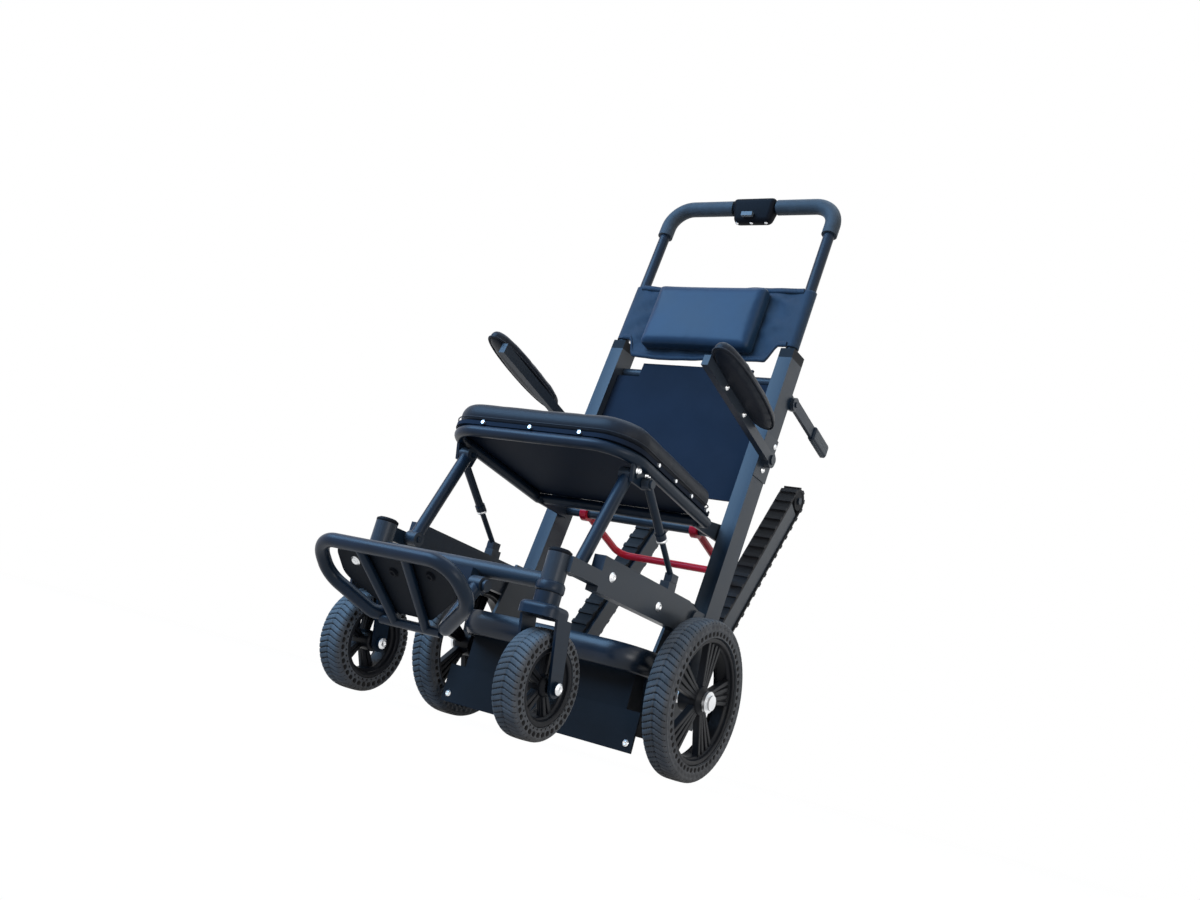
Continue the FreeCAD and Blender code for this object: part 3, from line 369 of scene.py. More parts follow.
def tyre(name, node, body, rim_radius, blocks, rows):
    """Tyre with relief tread and pierced side walls, with painted shade on the walls of its holes
    and the floors of its grooves.
    """
    low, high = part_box(node)
    centre = (low + high) / 2
    radius, width = (high.z - low.z) / 2, high.x - low.x
    edge = radius - width * SHOULDER_SHARE
    parts = [tread(centre, radius, width, blocks),
             spin([(-width / 2, rim_radius), (width / 2, rim_radius)], centre, WHEEL_SIDES)]
    for inner, outer, count, hole_t, hole_r, phase in rows(rim_radius, edge):
        parts.append(pierced_wall(centre, width, inner, outer, count, hole_t, hole_r, phase))
    vertices, faces = merge(parts)
    obj = piece(name, vertices, faces, "tyre", body, replaced=(node,))
    obj.data.materials.append(HOLE_PAINTED_SHADE)
    limit = width / 2 - 0.001
    tread_faces = blocks * TREAD_STEPS * (TREAD_POINTS - 1)
    # groove floors in the tread and hole walls in the side walls take the painted shade material
    for index, face in enumerate(obj.data.polygons):
        if index < tread_faces:
            step, k = divmod(index, TREAD_POINTS - 1)
            cut = sum(in_groove(step + up, k + on) for up in (0, 1) for on in (0, 1))
            dark = cut >= 3
        else:
            span = [obj.data.vertices[corner].co.x - centre.x for corner in face.vertices]
            reach = math.hypot(face.center.y - centre.y, face.center.z - centre.z)
            through = max(span) > limit and min(span) < -limit
            dark = through and rim_radius + 0.0005 < reach < edge
        face.material_index = 1 if dark else 0
    return obj


def rear_rows(rim_radius, edge):
    """One belt of oval holes by the rim, and plain rubber outside it.

    Each row is its inner and outer radius, count, half-sizes of a hole, and phase.
    """
    middle = rim_radius + 0.0135
    return [(rim_radius, middle, 54, 0.0046, 0.0045, 0.0),
            (middle, edge + HOLE_INSET, 54, 0.0001, 0.0001, 0.5)]


def caster_rows(rim_radius, edge):
    """Small holes by the rim and a belt of large ones outside."""
    middle = rim_radius + (edge - rim_radius) * 0.36
    return [(rim_radius, middle, 38, 0.0019, 0.0019, 0.5),
            (middle, edge + HOLE_INSET, 38, 0.0046, 0.0044, 0.0)]


# ---- rims -------------------------------------------------------------------------------
SPOKES = 5
RIB_SPREAD_IN = 0.0075            # spread of the ribs of a spoke at the hub
RIB_W = (0.0065, 0.0085)          # width of a rib at the hub and at the barrel
RIB_DEEP = 0.014
WEB_W, WEB_T = 0.014, 0.006       # the web between the ribs: width at the hub, thickness


def spoke(centre, hub, rim_reach, turn, offset_in, offset_out, width_in, width_out, x0, x1):
    """Tapered bar from the hub to the barrel, at an angle about X."""
    corners = []
    for x in (x0, x1):
        for reach, offset, wide in ((hub, offset_in, width_in), (rim_reach, offset_out, width_out)):
            for edge in (-1, 1) if reach == hub else (1, -1):
                t = offset + edge * wide / 2
                y = reach * math.cos(turn) - t * math.sin(turn)
                z = reach * math.sin(turn) + t * math.cos(turn)
                corners.append((centre[0] + x, centre[1] + y, centre[2] + z))
    return block(corners)


def barrel_profile(radius, half, lip):
    """Closed (x, radius) outline of a rim barrel with rolled lips."""
    return [(-half, radius), (-half - 0.001, radius - 0.004), (-half, radius - 0.009),
            (-half + lip, radius - 0.010), (-half + lip + 0.004, radius - 0.014),
            (half - lip - 0.004, radius - 0.014), (half - lip, radius - 0.010),
            (half, radius - 0.009), (half + 0.001, radius - 0.004), (half, radius),
            (half - 0.004, radius - 0.001), (-half + 0.004, radius - 0.001), (-half, radius)]


def rim(name, node, body, side, hub_radius, pairs, inset, spread):
    """Rim of a barrel, a hub and spokes, each spoke a web with fanned ribs."""
    low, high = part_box(node)
    centre = (low + high) / 2
    radius, half = (high.z - low.z) / 2, (high.x - low.x) / 2
    hub_face = half - 0.001
    hub = [(-hub_face, 0.0108), (-hub_face, hub_radius * 0.8), (-hub_face + 0.003, hub_radius),
           (hub_face - 0.008, hub_radius), (hub_face - 0.004, hub_radius * 0.86),
           (hub_face, hub_radius * 0.7), (hub_face, 0.0108)]
    parts = [spin(barrel_profile(radius - 0.0002, half - 0.004, 0.006), centre, WHEEL_SIDES),
             spin([(side * x, r) for x, r in hub], centre, 64)]
    root, tip = hub_radius * 0.8, radius - 0.012
    face, web = side * (half - inset), side * (half - inset - 0.004)
    for index in range(SPOKES):
        turn = math.pi / 2 + 2 * math.pi * index / SPOKES
        for offset in pairs:
            parts.append(spoke(centre, root, tip, turn, offset * RIB_SPREAD_IN, offset * spread,
                               RIB_W[0], RIB_W[1], face - side * RIB_DEEP, face))
        parts.append(spoke(centre, root, tip, turn, 0, 0, WEB_W, spread * 2,
                           web - side * WEB_T, web))
    vertices, faces = merge(parts)
    obj = piece(name, vertices, faces, "rim_black", body, replaced=(node,))
    shade_by_angle(obj)
    return bevelled(obj, 0.0012, 2)


def shade_by_angle(obj, degrees=35):
    """Flat faces stay crisp: edges sharper than the angle are marked sharp."""
    mesh = bmesh.new()
    mesh.from_mesh(obj.data)
    limit = math.radians(degrees)
    for edge in mesh.edges:
        if len(edge.link_faces) == 2 and edge.calc_face_angle(0) > limit:
            edge.smooth = False
    mesh.to_mesh(obj.data)
    mesh.free()


# ---- soft pads --------------------------------------------------------------------------
PIPING_INSET = 0.0008
CLOTH_PRESSURE = 4
CLOTH_FRAMES = 20


def rounded_outline(half_w, half_l, front_radius, rear_radius, inset, per_corner=12,
                    per_side=16):
    """Points of a rectangle with round corners, drawn in by the inset."""
    if front_radius is None:
        return oval_outline(half_w - inset, half_l - inset)
    corners = ((1, 1, rear_radius, 0), (-1, 1, rear_radius, 90),
               (-1, -1, front_radius, 180), (1, -1, front_radius, 270))
    arcs = []
    for sx, sy, radius, start in corners:
        small = max(radius - inset, 0.002)
        cx, cy = sx * (half_w - inset - small), sy * (half_l - inset - small)
        turns = [math.radians(start + 90 * step / per_corner) for step in range(per_corner + 1)]
        arcs.append([(cx + small * math.cos(turn), cy + small * math.sin(turn))
                     for turn in turns])
    points = []
    for arc, following in zip(arcs, arcs[1:] + arcs[:1]):
        points += arc
        here, there = arc[-1], following[0]
        for part in range(1, per_side):
            share = part / per_side
            points.append((here[0] + (there[0] - here[0]) * share,
                           here[1] + (there[1] - here[1]) * share))
    return points


def oval_outline(half_w, half_l, count=112):
    """Points of a long oval, fuller than an ellipse."""
    points = []
    for step in range(count):
        turn = 2 * math.pi * step / count
        across, along = math.cos(turn), math.sin(turn)
        points.append((half_w * math.copysign(abs(across) ** 0.82, across),
                       half_l * math.copysign(abs(along) ** 0.92, along)))
    return points


def pad(name, size, radii, matrix, slot, body, replaced, crown, side_bulge, swell,
        voxel=0.0055):
    """Stuffed pad: boxed sides that bulge, a crowned face, then swollen as cloth."""
    half_w, half_l, thick = size[0] / 2, size[1] / 2, size[2]
    levels = [(0.010, 0.0), (0.003, 0.001), (0.0005, thick * 0.16),
              (-side_bulge, thick * 0.42), (0.0, thick * 0.70), (0.003, thick * 0.84),
              (0.009, thick * 0.95)]
    reach = min(half_w, half_l)
    for share in (0.16, 0.28, 0.42, 0.58, 0.74, 0.88):
        levels.append((reach * share, thick * 0.97 + crown * math.sin(share * math.pi / 2)))
    radii = radii or (None, None)
    rings = [rounded_outline(half_w, half_l, radii[0], radii[1], inset) for inset, z in levels]
    count = len(rings[0])
    levels.append((reach, levels[-1][1]))
    rings.append([(x * (half_w > half_l), y * (half_w <= half_l)) for x, y in rings[-1]])
    vertices = [(x, y, z) for ring, (inset, z) in zip(rings, levels) for x, y in ring]
    faces = quads(len(levels), count, round_columns=True)
    faces.append(tuple(range(count)))
    obj = piece(name, moved(matrix, vertices), faces, slot, body, replaced=replaced, weld=True)
    inflate(obj, swell, voxel)
    return obj


def inflate(obj, cap, voxel):
    """Swells a closed pad with cloth pressure, each point moving no further than the cap."""
    scene = bpy.context.scene
    work = obj.copy()
    work.data = obj.data.copy()
    work.parent = None
    work.matrix_world = Matrix.Identity(4)
    scene.collection.objects.link(work)
    remesh = work.modifiers.new("remesh", "REMESH")
    remesh.mode = "VOXEL"
    remesh.voxel_size = voxel
    bake(work)
    rest = [vertex.co.copy() for vertex in work.data.vertices]
    cloth = work.modifiers.new("cloth", "CLOTH")
    cloth.settings.use_pressure = True
    cloth.settings.uniform_pressure_force = CLOTH_PRESSURE
    cloth.settings.quality = 4
    cloth.settings.tension_stiffness = 25
    cloth.settings.effector_weights.gravity = 0
    cloth.point_cache.frame_end = CLOTH_FRAMES
    for step in range(1, CLOTH_FRAMES + 1):
        scene.frame_set(step)
    depsgraph = bpy.context.evaluated_depsgraph_get()
    swollen = [vertex.co.copy() for vertex in work.evaluated_get(depsgraph).data.vertices]
    work.modifiers.clear()
    for vertex, before, after in zip(work.data.vertices, rest, swollen):
        step = after - before
        if step.length > cap:
            step *= cap / step.length
        vertex.co = before + step
    scene.frame_set(1)
    smooth = work.modifiers.new("smooth", "SMOOTH")
    smooth.factor = 0.5
    smooth.iterations = 3
    bake(work)
    material = obj.data.materials[0]
    obj.data = work.data
    obj.data.materials.clear()
    obj.data.materials.append(material)
    obj.data.polygons.foreach_set("use_smooth", [True] * len(obj.data.polygons))
    bpy.data.objects.remove(work)
    finer = obj.modifiers.new("finer", "SUBSURF")
    finer.levels = finer.render_levels = 1


def bake(obj):
    """Applies an object's modifiers to its mesh."""
    depsgraph = bpy.context.evaluated_depsgraph_get()
    depsgraph.update()
    mesh = bpy.data.meshes.new_from_object(obj.evaluated_get(depsgraph))
    obj.modifiers.clear()
    obj.data = mesh


def piping(name, size, radii, height, matrix, slot, body, radius):
    """Sewn cord round the edge of a pad."""
    radii = radii or (None, None)
    ring = rounded_outline(size[0] / 2, size[1] / 2, radii[0], radii[1], PIPING_INSET)
    centre_line = [matrix @ Vector((x, y, height)) for x, y in ring]
    return closed_tube(name, centre_line, radius, slot, body)


def closed_tube(name, points, radius, slot, body, sides=10):
    """Round cord along a closed line of points."""
    count = len(points)
    vertices = []
    for index, point in enumerate(points):
        along = (points[(index + 1) % count] - points[index - 1]).normalized()
        level = Vector((0, 0, 1)) if abs(along.z) < 0.9 else Vector((1, 0, 0))
        across = along.cross(level).normalized()
        up = across.cross(along)
        for k in range(sides):
            turn = 2 * math.pi * k / sides
            vertices.append(tuple(point + across * radius * math.cos(turn)
                                  + up * radius * math.sin(turn)))
    faces = quads(count, sides, round_rows=True, round_columns=True)
    return piece(name, vertices, faces, slot, body)


# ---- small fittings ---------------------------------------------------------------------
FITTING_SIDES = 32
FOOTREST_TILT = 38


def bolt(name, place, axis, radius, height, body, slot="steel"):
    """Domed bolt head with a washer and a round socket."""
    profile = [(0.0, radius * 1.25), (height * 0.18, radius * 1.25), (height * 0.2, radius),
               (height * 0.62, radius * 0.97), (height * 0.9, radius * 0.75),
               (height, radius * 0.52), (height * 0.6, radius * 0.48), (height * 0.6, 0.0001)]
    vertices, faces = spin(profile, (0, 0, 0), FITTING_SIDES)
    return piece(name, moved(aimed(place, axis), vertices), faces, slot, body)


def fittings():
    arm_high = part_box("armrest_bar_left")[1]
    beam_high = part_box("side_beam_left")[1]
    for name, side in SIDES:
        out = (side, 0, 0)
        arm_x = side * (arm_high.x + 0.0002)
        for index, (y, z) in enumerate(((-0.126, 0.713), (-0.035, 0.694))):
            bolt(f"arm_bolt_{name}_{index}", (arm_x, AXLE_Y + y, z + 0.006), out, 0.0045, 0.004,
                 "armrest_" + name)
        for index, (y, z) in enumerate(((-0.300, 0.296), (-0.125, 0.287))):
            bolt(f"beam_bolt_{name}_{index}", (side * beam_high.x, AXLE_Y + y, z), out, 0.007,
                 0.005, "front_frame")
        for index, (z, back) in enumerate(((0.640, 0.030), (0.702, 0.050))):
            place = (side * (UPRIGHT_OUT + 0.002), front_y(z, back), z)
            bolt(f"upright_bolt_{name}_{index}", place, out, 0.0048, 0.004, "frame")
        arm_bracket(name, side)
        kick_low, kick_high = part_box("kick_plate")
        bolt("kick_screw_" + name, (side * (kick_high.x - 0.014), kick_low.y - 0.0002,
                                    kick_low.z + 0.016), (0, -1, 0), 0.005, 0.004, "frame")
        low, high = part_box("stem_tube_" + name)
        stem_ring("stem_cap_" + name, high.z, STEM_CAP, "black_plastic", low, high)
        stem_ring("stem_collar_" + name, low.z + 0.001, STEM_COLLAR, "powder_coat", low, high)
        seat_bolts(name, side)
        fork_bolts(name)
        strut_ring(name, side)
        lever_grip(name, side)


def arm_bracket(name, side):
    """Folded plate on the outer face of the upright that carries the armrest."""
    z0, z1 = 0.618, 0.718
    corners = []
    for x in (UPRIGHT_OUT + 0.0001, UPRIGHT_OUT + 0.0019):
        for z, offsets in ((z0, (-0.003, 0.060)), (z1, (0.060, -0.003))):
            for offset in offsets:
                corners.append((side * x, front_y(z, offset), z))
    vertices, faces = block(corners)
    bevelled(piece("arm_bracket_" + name, vertices, faces, "powder_coat", "frame", smooth=False),
             0.0006, 2)


def fork_bolts(name):
    """Bright bolt heads at both ends of a caster axle."""
    low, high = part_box("caster_fork_" + name)
    tyre_low, tyre_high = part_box("caster_tyre_" + name)
    centre = (tyre_low + tyre_high) / 2
    for label, x, way in (("outer", high.x, 1), ("inner", low.x, -1)):
        bolt(f"fork_bolt_{label}_{name}", (x, centre.y, centre.z), (way, 0, 0), 0.0078, 0.0035,
             "caster_fork_" + name)


def footrest_bolts():
    """Bolt heads on the underside of the footrest plate."""
    lean = math.radians(FOOTREST_TILT)
    corner = Vector((0, AXLE_Y - 0.500, 0.125))
    out = Vector((0, -math.cos(lean), math.sin(lean)))
    under = Vector((0, -math.sin(lean), -math.cos(lean)))
    for index, (x, along) in enumerate(((-0.082, 0.112), (0.0, 0.104), (0.082, 0.112))):
        place = corner + out * along - under * 0.0079 + Vector((x, 0, 0))
        bolt(f"footrest_bolt_{index}", place, under, 0.0072, 0.004, "footrest",
             "steel" if index == 0 else "black_plastic")


def seat_bolts(name, side):
    """Bolt heads on the plates that join the seat to the front legs and struts."""
    x = side * 0.2042
    for index, (y, z) in enumerate(((-0.282, 0.492), (-0.249, 0.494))):
        bolt(f"seat_bolt_{name}_{index}", (x, AXLE_Y + y, z), (side, 0, 0), 0.0062, 0.005, "seat")


def strut_ring(name, side):
    """Bright ring where the inner rod of a strut enters its sleeve."""
    head, foot = Vector((0, -0.255, 0.478)), Vector((0, -0.090, 0.349))
    way = (foot - head).normalized()
    profile = [(0, 0.0056), (0, 0.0102), (0.005, 0.0102), (0.005, 0.0056)]
    vertices, faces = spin(profile, (0, 0, 0), FITTING_SIDES)
    sleeve_end, strut_x = 0.1202, 0.213
    place = head + way * sleeve_end + Vector((side * strut_x, AXLE_Y, 0))
    piece("strut_ring_" + name, moved(aimed(place, way), vertices), faces, "steel",
          "strut_" + name)


def lever_grip(name, side):
    """Ribbed sleeve over the free end of a lifting lever."""
    pivot, end = Vector((0, 0.196, 0.813)), Vector((0, 0.400, 0.779))
    way = (end - pivot).normalized()
    level = Vector((0, -way.z, way.y))
    middle_x = side * 0.2353
    rings, steps = [], 22
    for step in range(steps + 1):
        along = 0.004 + 0.084 * step / steps
        swell = 0.0004 if step % 2 else -0.0007
        half_z, half_x = 0.0162 + swell, 0.0082 + swell
        if step in (0, steps):
            half_z, half_x = half_z - 0.003, half_x - 0.003
        centre = end - way * (0.088 - along) + Vector((middle_x, AXLE_Y, 0))
        rings.append([centre + Vector((half_x * u, 0, 0)) + level * half_z * v
                      for u, v in ((-1, -0.6), (-0.6, -1), (0.6, -1), (1, -0.6), (1, 0.6),
                                   (0.6, 1), (-0.6, 1), (-1, 0.6))])
    vertices = [tuple(point) for ring in rings for point in ring]
    faces = [tuple(range(8)), tuple(range(8 * steps, 8 * steps + 8))]
    faces += quads(steps + 1, 8, round_columns=True)
    piece("lever_grip_" + name, vertices, faces, "grey_plastic", "lift_lever_" + name,
          smooth=False)


STEM_CAP = [(0, 0.0199), (0.002, 0.0205), (0.005, 0.0200), (0.008, 0.015), (0.009, 0.0002)]
STEM_COLLAR = [(0.0, 0.0201), (0.0, 0.0235), (0.004, 0.0245), (0.013, 0.0240), (0.017, 0.0215),
               (0.018, 0.0201)]


def stem_ring(name, z, profile, slot, low, high):
    """Round cap or collar on a caster's stem tube, its (height, radius) profile from z up."""
    centre = (low + high) / 2
    vertices, faces = spin(profile, (0, 0, 0), 48)
    upright = Matrix.Rotation(-math.pi / 2, 4, "Y")
    matrix = Matrix.Translation((centre.x, centre.y, z)) @ upright
    piece(name, moved(matrix, vertices), faces, slot, "front_frame")


# ---- cloth sling ------------------------------------------------------------------------
WRAP_R = 0.0155                   # radius of the cloth's sleeves round the handle tubes
SLING_SAG = 0.010
SLING_RIPPLE = 0.006
SLING_LIFT = 0.004                # wave of the edges, up and down
LIFT_WAVE = 17
CLOTH_T = 0.0012
FLAP_EDGE = 0.022                 # run over which the lower edge drops


def sling_edge(x):
    """Share of free movement of the cloth: one in the middle, none at the sleeves."""
    return 1 - (abs(x) / UPRIGHT_X) ** 6


def sling_sag(x, edge):
    return SLING_SAG * edge * (1 - (x / UPRIGHT_X) ** 2)


def sling_ripple(x, z, edge):
    return SLING_RIPPLE * edge * noise.noise(Vector((x * 22, z * 34, 1.7)))


def back_sling():
    """Coated cloth wrapped round both handle tubes, drawn into creases beside the headrest."""
    low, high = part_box("back_sling")
    foot, top = SLING_LOW + 0.001, high.z - 0.003
    path = [(-UPRIGHT_X - WRAP_R * math.sin(turn), -WRAP_R * math.cos(turn), 0.0)
            for turn in [math.radians(170 - 170 * step / 16) for step in range(17)]]
    across = 90
    left_end = -UPRIGHT_X + 0.001
    for step in range(1, across):
        x = left_end + (2 * UPRIGHT_X - 0.002) * step / across
        path.append((x, -WRAP_R, 1.0))
    path += [(-x, y, 0.0) for x, y, free in reversed(path[:17])]
    rows = 44
    vertices = []
    for row in range(rows + 1):
        for x, y, free in path:
            lowest = sling_foot(x) if free else foot
            z = lowest + (top - lowest) * row / rows
            middle = front_y(z, WRAP_R)
            edge = sling_edge(x) if free else 0.0
            sag = sling_sag(x, edge)
            side = max(0.0, abs(x) - 0.12) / 0.1
            crease = 0.0030 * edge * side * math.sin(120 * z + 70 * abs(x) + 3.0 * x)
            crease += 0.0045 * edge * side * noise.noise(Vector((x * 60 + z * 38, z * 52, 4.1)))
            vertices.append((x, middle + y + sag + crease + sling_ripple(x, z, edge),
                             z + SLING_LIFT * edge * math.sin(x * LIFT_WAVE)))
    faces = quads(rows + 1, len(path))
    sling = piece("back_sling_cloth", vertices, faces, "sling_cloth", "frame",
                  replaced=("back_sling",))
    thick = sling.modifiers.new("thickness", "SOLIDIFY")
    thick.thickness = CLOTH_T
    thick.offset = 0
    sling_hems(path, top)


def sling_foot(x):
    """Height of the cloth's lower edge: it hangs lower between the uprights."""
    share = min(1.0, max(0.0, (abs(x) - SLING_FLAP_HALF + FLAP_EDGE) / FLAP_EDGE))
    share = share * share * (3 - 2 * share)
    return SLING_FLAP_LOW + (SLING_LOW + 0.001 - SLING_FLAP_LOW) * share


def sling_hems(path, top):
    """Folded hems along the upper and lower edges."""
    hems = []
    for label in ("upper", "lower"):
        vertices = []
        steps = [point[:2] for point in path if point[2]]
        for x, y in steps:
            z = top - 0.004 if label == "upper" else sling_foot(x) + 0.004
            edge = sling_edge(x)
            base = front_y(z, WRAP_R) + y + sling_sag(x, edge) + sling_ripple(x, z, edge)
            lift = SLING_LIFT * edge * math.sin(x * LIFT_WAVE)
            for dy, dz in ((-0.0026, -0.006), (-0.0032, 0.0), (-0.0026, 0.006), (0.0006, 0.006),
                           (0.0006, -0.006)):
                vertices.append((x, base + dy, z + lift + dz))
        faces = quads(len(steps), 5, round_columns=True)
        hems.append(piece(f"sling_hem_{label}", vertices, faces, "sling_cloth", "frame"))
    return hems


# ---- seat, headrest and arm pads ---------------------------------------------------------
CUSHION_LENGTH, CUSHION_T = 0.350, 0.044
CUSHION_CORNERS = (0.070, 0.020)  # radii of the front and rear corners
HEADREST_T = 0.0445
ARM_PAD_TILT = math.radians(-11.8)
SEAM_R = 0.0012
PIPING_R = 0.0022


def seat_cushion():
    low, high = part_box("seat_cushion")
    size = (high.x - low.x - 0.004, CUSHION_LENGTH - 0.006, CUSHION_T - 0.004)
    hip = Vector((0, AXLE_Y - 0.282, 0.508))
    matrix = (Matrix.Translation(hip) @ Matrix.Rotation(-SEAT_TILT, 4, "X")
              @ Matrix.Translation((0, 0.102, 0.0193)))
    pad("seat_cushion_vinyl", size, CUSHION_CORNERS, matrix, "vinyl", "seat",
        ("seat_cushion",), 0.004, 0.002, 0.004)
    seam = (size[0] + SEAM_R, size[1] + SEAM_R)
    piping("seat_seam", seam, CUSHION_CORNERS, 0.007, matrix, "vinyl", "seat", SEAM_R)


def headrest():
    low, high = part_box("headrest_pad")
    lift = (high.z + low.z) / 2
    width = high.x - low.x
    thick = HEADREST_T
    length = (high.z - low.z - thick * math.sin(LEAN_ANGLE)) / math.cos(LEAN_ANGLE)
    tilt = Matrix.Rotation(math.pi / 2 - LEAN_ANGLE, 4, "X")
    back = Vector(((low.x + high.x) / 2, front_y(lift, 0.0115), lift))
    matrix = Matrix.Translation(back) @ tilt
    size = (width - 0.006, length - 0.006, thick - 0.005)
    pad("headrest_cushion", size, (0.010, 0.010), matrix, "headrest_vinyl", "frame",
        ("headrest_pad",), 0.002, 0.0005, 0.0018, 0.0042)


def arm_pads():
    pivot = Vector((0, AXLE_Y + 0.131, 0.665))
    for name in ("left", "right"):
        node = "armrest_pad_" + name
        low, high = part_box(node)
        centre = Vector(((low.x + high.x) / 2, -0.371 + 0.1375, 0.011))
        matrix = (Matrix.Translation(pivot) @ Matrix.Rotation(ARM_PAD_TILT, 4, "X")
                  @ Matrix.Translation(centre))
        size = (0.066, 0.272, 0.025)
        pad(f"arm_pad_{name}", size, None, matrix, "vinyl", "armrest_" + name, (node,), 0.002,
            0.001, 0.0025)
        piping("arm_piping_" + name, (0.0675, 0.274), None, 0.005, matrix, "vinyl",
               "armrest_" + name, PIPING_R)


# ---- control pod -------------------------------------------------------------------------
def control_pod():
    low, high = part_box("control_pod")
    inset = 0.0005
    corners = []
    for z, grow in ((low.z + inset, -0.010), (high.z - inset, 0.0)):
        for sx, sy in ((-1, -1), (1, -1), (1, 1), (-1, 1)):
            x = (low.x + high.x) / 2 + sx * ((high.x - low.x) / 2 + grow - inset)
            y = (low.y + high.y) / 2 + sy * ((high.y - low.y) / 2 + grow - inset)
            corners.append((x, y, z))
    vertices, faces = block(corners)
    pod = piece("control_pod_case", vertices, faces, "black_plastic", "push_handle",
                replaced=("control_pod",))
    bevelled(pod, 0.012, 6)
    middle = (low.x + high.x) / 2
    for index, x in enumerate((middle - 0.038, middle, middle + 0.038)):
        bolt(f"pod_screw_{index}", (x, (low.y + high.y) / 2 - 0.006, low.z + 0.0003), (0, 0, -1),
             0.0032, 0.0025, "push_handle")


# ---- bumper band -------------------------------------------------------------------------
def bumper_band():
    """Moulded band with a full, rounded face, from one upright round the front to the other."""
    low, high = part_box("bumper_band")
    out, front = high.x, low.y
    corner, tuck = 0.080, 0.007
    path = [(out, front_y(0.186) - 0.004, 0.0), (out, front + corner, 0.0)]
    for step in range(1, 16):
        turn = math.radians(90 * step / 16)
        path.append((out - corner + corner * math.cos(turn),
                     front + corner - corner * math.sin(turn), turn))
    path.append((out - corner, front, math.pi / 2))
    path += [(-x, y, math.pi - turn) for x, y, turn in reversed(path)]
    tall = high.z - low.z
    profile = []
    for step in range(17):
        share = -1 + 2 * step / 16
        profile.append((tuck * abs(share) ** 2.4 + 0.004 * max(0, -share) ** 2,
                        low.z + tall * (share + 1) / 2))
    profile += [(0.0165, high.z), (0.0165, low.z)]
    vertices = [(x - inward * math.cos(turn), y + inward * math.sin(turn), z)
                for x, y, turn in path for inward, z in profile]
    count = len(profile)
    faces = quads(len(path), count, round_columns=True)
    faces += [tuple(range(count)), tuple(range(len(vertices) - count, len(vertices)))]
    obj = piece("bumper_shell", vertices, faces, "gloss_black", "frame",
                replaced=("bumper_band",))
    shade_by_angle(obj, 50)


# ---- stage -------------------------------------------------------------------------------
WORLD_COLOUR, WORLD_STRENGTH = (0.62, 0.72, 0.85, 1), 0.08
FLOOR_COLOUR = (0.25, 0.25, 0.26, 1)
FLOOR_REACH = 30.0
FLOOR_GLOW, FLOOR_GLOW_SHARE = 1.06, 0.93
LAMP_TARGET = (0, 0.1, 0.6)
LAMPS = (
    # name, place, size, watts, colour; the front one is a clear blue, like an open sky
    ("sky_front", (-1.9, -2.9, 2.9), (3.4, 2.6), 270, (0.30, 0.60, 1.0)),
    ("sky_top", (0.2, 0.3, 3.6), (2.6, 2.6), 42, (0.62, 0.80, 1.0)),
    ("side_right", (3.0, -0.9, 1.5), (1.2, 2.0), 14, (1.0, 0.96, 0.92)),
    ("low_right", (2.6, -1.6, 0.5), (0.9, 0.6), 14, (1.0, 0.97, 0.95)),
    ("behind_right", (1.9, 3.4, 1.5), (0.7, 1.6), 4, (0.9, 0.96, 1.0)),
)


def light(name, place, size, power, colour):
    data = bpy.data.lights.new(name, "AREA")
    data.shape = "RECTANGLE"
    data.size, data.size_y = size
    data.energy = power
    data.color = colour
    lamp = bpy.data.objects.new(name, data)
    lamp.location = place
    way = Vector(LAMP_TARGET) - Vector(place)
    lamp.rotation_euler = way.to_track_quat("-Z", "Y").to_euler()
    bpy.context.scene.collection.objects.link(lamp)


def stage():
    """White world and floor, which still take light and shadow, and the lamps."""
    scene = bpy.context.scene
    scene.view_settings.view_transform = "Standard"
    mesh = bpy.data.meshes.new("floor")
    corners = [(x * FLOOR_REACH, y * FLOOR_REACH, 0)
               for x, y in ((-1, -1), (1, -1), (1, 1), (-1, 1))]
    mesh.from_pydata(corners, [], [(0, 1, 2, 3)])
    floor = bpy.data.objects.new("floor", mesh)
    scene.collection.objects.link(floor)
    mesh.materials.append(pale_floor())
    world = bpy.data.worlds.new("studio")
    scene.world = world
    world.use_nodes = True
    nodes, links = world.node_tree.nodes, world.node_tree.links
    plain = nodes["Background"]
    plain.inputs["Color"].default_value = WORLD_COLOUR
    plain.inputs["Strength"].default_value = WORLD_STRENGTH
    white = nodes.new("ShaderNodeBackground")
    white.inputs["Color"].default_value = (1, 1, 1, 1)
    mix = nodes.new("ShaderNodeMixShader")
    links.new(seen_directly(nodes, links), mix.inputs["Fac"])
    links.new(plain.outputs["Background"], mix.inputs[1])
    links.new(white.outputs["Background"], mix.inputs[2])
    links.new(mix.outputs["Shader"], nodes["World Output"].inputs["Surface"])
    for lamp in LAMPS:
        light(*lamp)


def seen_directly(nodes, links):
    """One for camera, glossy and transmission rays, which see the background itself."""
    path = nodes.new("ShaderNodeLightPath")
    total = path.outputs["Is Camera Ray"]
    for ray in ("Is Glossy Ray", "Is Transmission Ray"):
        either = nodes.new("ShaderNodeMath")
        either.operation = "MAXIMUM"
        links.new(total, either.inputs[0])
        links.new(path.outputs[ray], either.inputs[1])
        total = either.outputs["Value"]
    return total


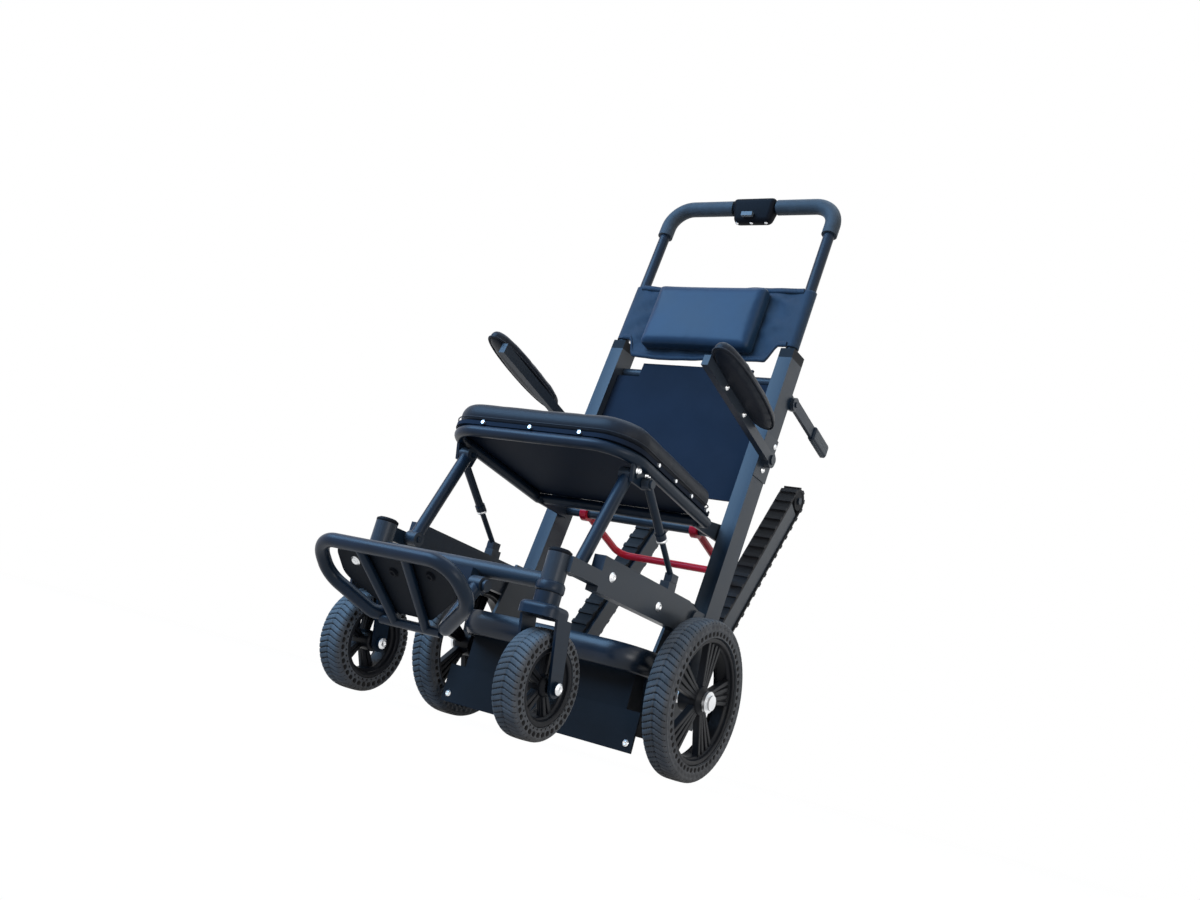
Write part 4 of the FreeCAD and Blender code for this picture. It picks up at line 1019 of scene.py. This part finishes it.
def pale_floor():
    """Floor that takes shadows, yet shows white where it is seen directly."""
    material = bpy.data.materials.new("pale_floor")
    material.use_nodes = True
    nodes, links = material.node_tree.nodes, material.node_tree.links
    shader = nodes["Principled BSDF"]
    shader.inputs["Base Color"].default_value = FLOOR_COLOUR
    shader.inputs["Roughness"].default_value = 0.9
    glow = nodes.new("ShaderNodeEmission")
    glow.inputs["Strength"].default_value = FLOOR_GLOW
    share = nodes.new("ShaderNodeMath")
    share.operation = "MULTIPLY"
    share.inputs[1].default_value = FLOOR_GLOW_SHARE
    mix = nodes.new("ShaderNodeMixShader")
    links.new(seen_directly(nodes, links), share.inputs[0])
    links.new(share.outputs["Value"], mix.inputs["Fac"])
    links.new(shader.outputs["BSDF"], mix.inputs[1])
    links.new(glow.outputs["Emission"], mix.inputs[2])
    links.new(mix.outputs["Shader"], nodes["Material Output"].inputs["Surface"])
    return material


SENSOR_WIDTH, LENS = 36.0, 34.53
CAMERA_TURN = (104.139, -15.428, 31.153)


def camera():
    data = bpy.data.cameras.new("camera")
    data.sensor_width = SENSOR_WIDTH
    data.lens = LENS
    eye = bpy.data.objects.new("camera", data)
    eye.location = (1.2711, AXLE_Y - 1.9366, 0.0331)
    eye.rotation_euler = [math.radians(angle) for angle in CAMERA_TURN]
    bpy.context.scene.collection.objects.link(eye)
    bpy.context.scene.camera = eye


# ---- assembly ----------------------------------------------------------------------------
dress_cad_nodes()
# rim radius of the tyre, blocks of tread, rows of holes; then hub radius, places of the
# ribs in a spoke, inset of the spokes and their spread at the barrel
WHEELS = (
    ("rear", (0.118, 76, rear_rows), (0.027, (-1, -0.36, 0.36, 1), 0.010, 0.0215)),
    ("caster", (0.065, 56, caster_rows), (0.018, (-0.5, 0.5), 0.012, 0.0130)),
)
for side_name, side_sign in SIDES:
    for kind, tyre_form, rim_form in WHEELS:
        node, body = f"{kind}_tyre_{side_name}", f"{kind}_wheel_{side_name}"
        tyre(f"{kind}_tyre_tread_{side_name}", node, body, *tyre_form)
    for kind, tyre_form, rim_form in WHEELS:
        node, body = f"{kind}_rim_{side_name}", f"{kind}_wheel_{side_name}"
        rim(f"{kind}_rim_spokes_{side_name}", node, body, side_sign, *rim_form)
seat_cushion()
headrest()
arm_pads()
back_sling()
control_pod()
bumper_band()
fittings()
footrest_bolts()
stage()
camera()
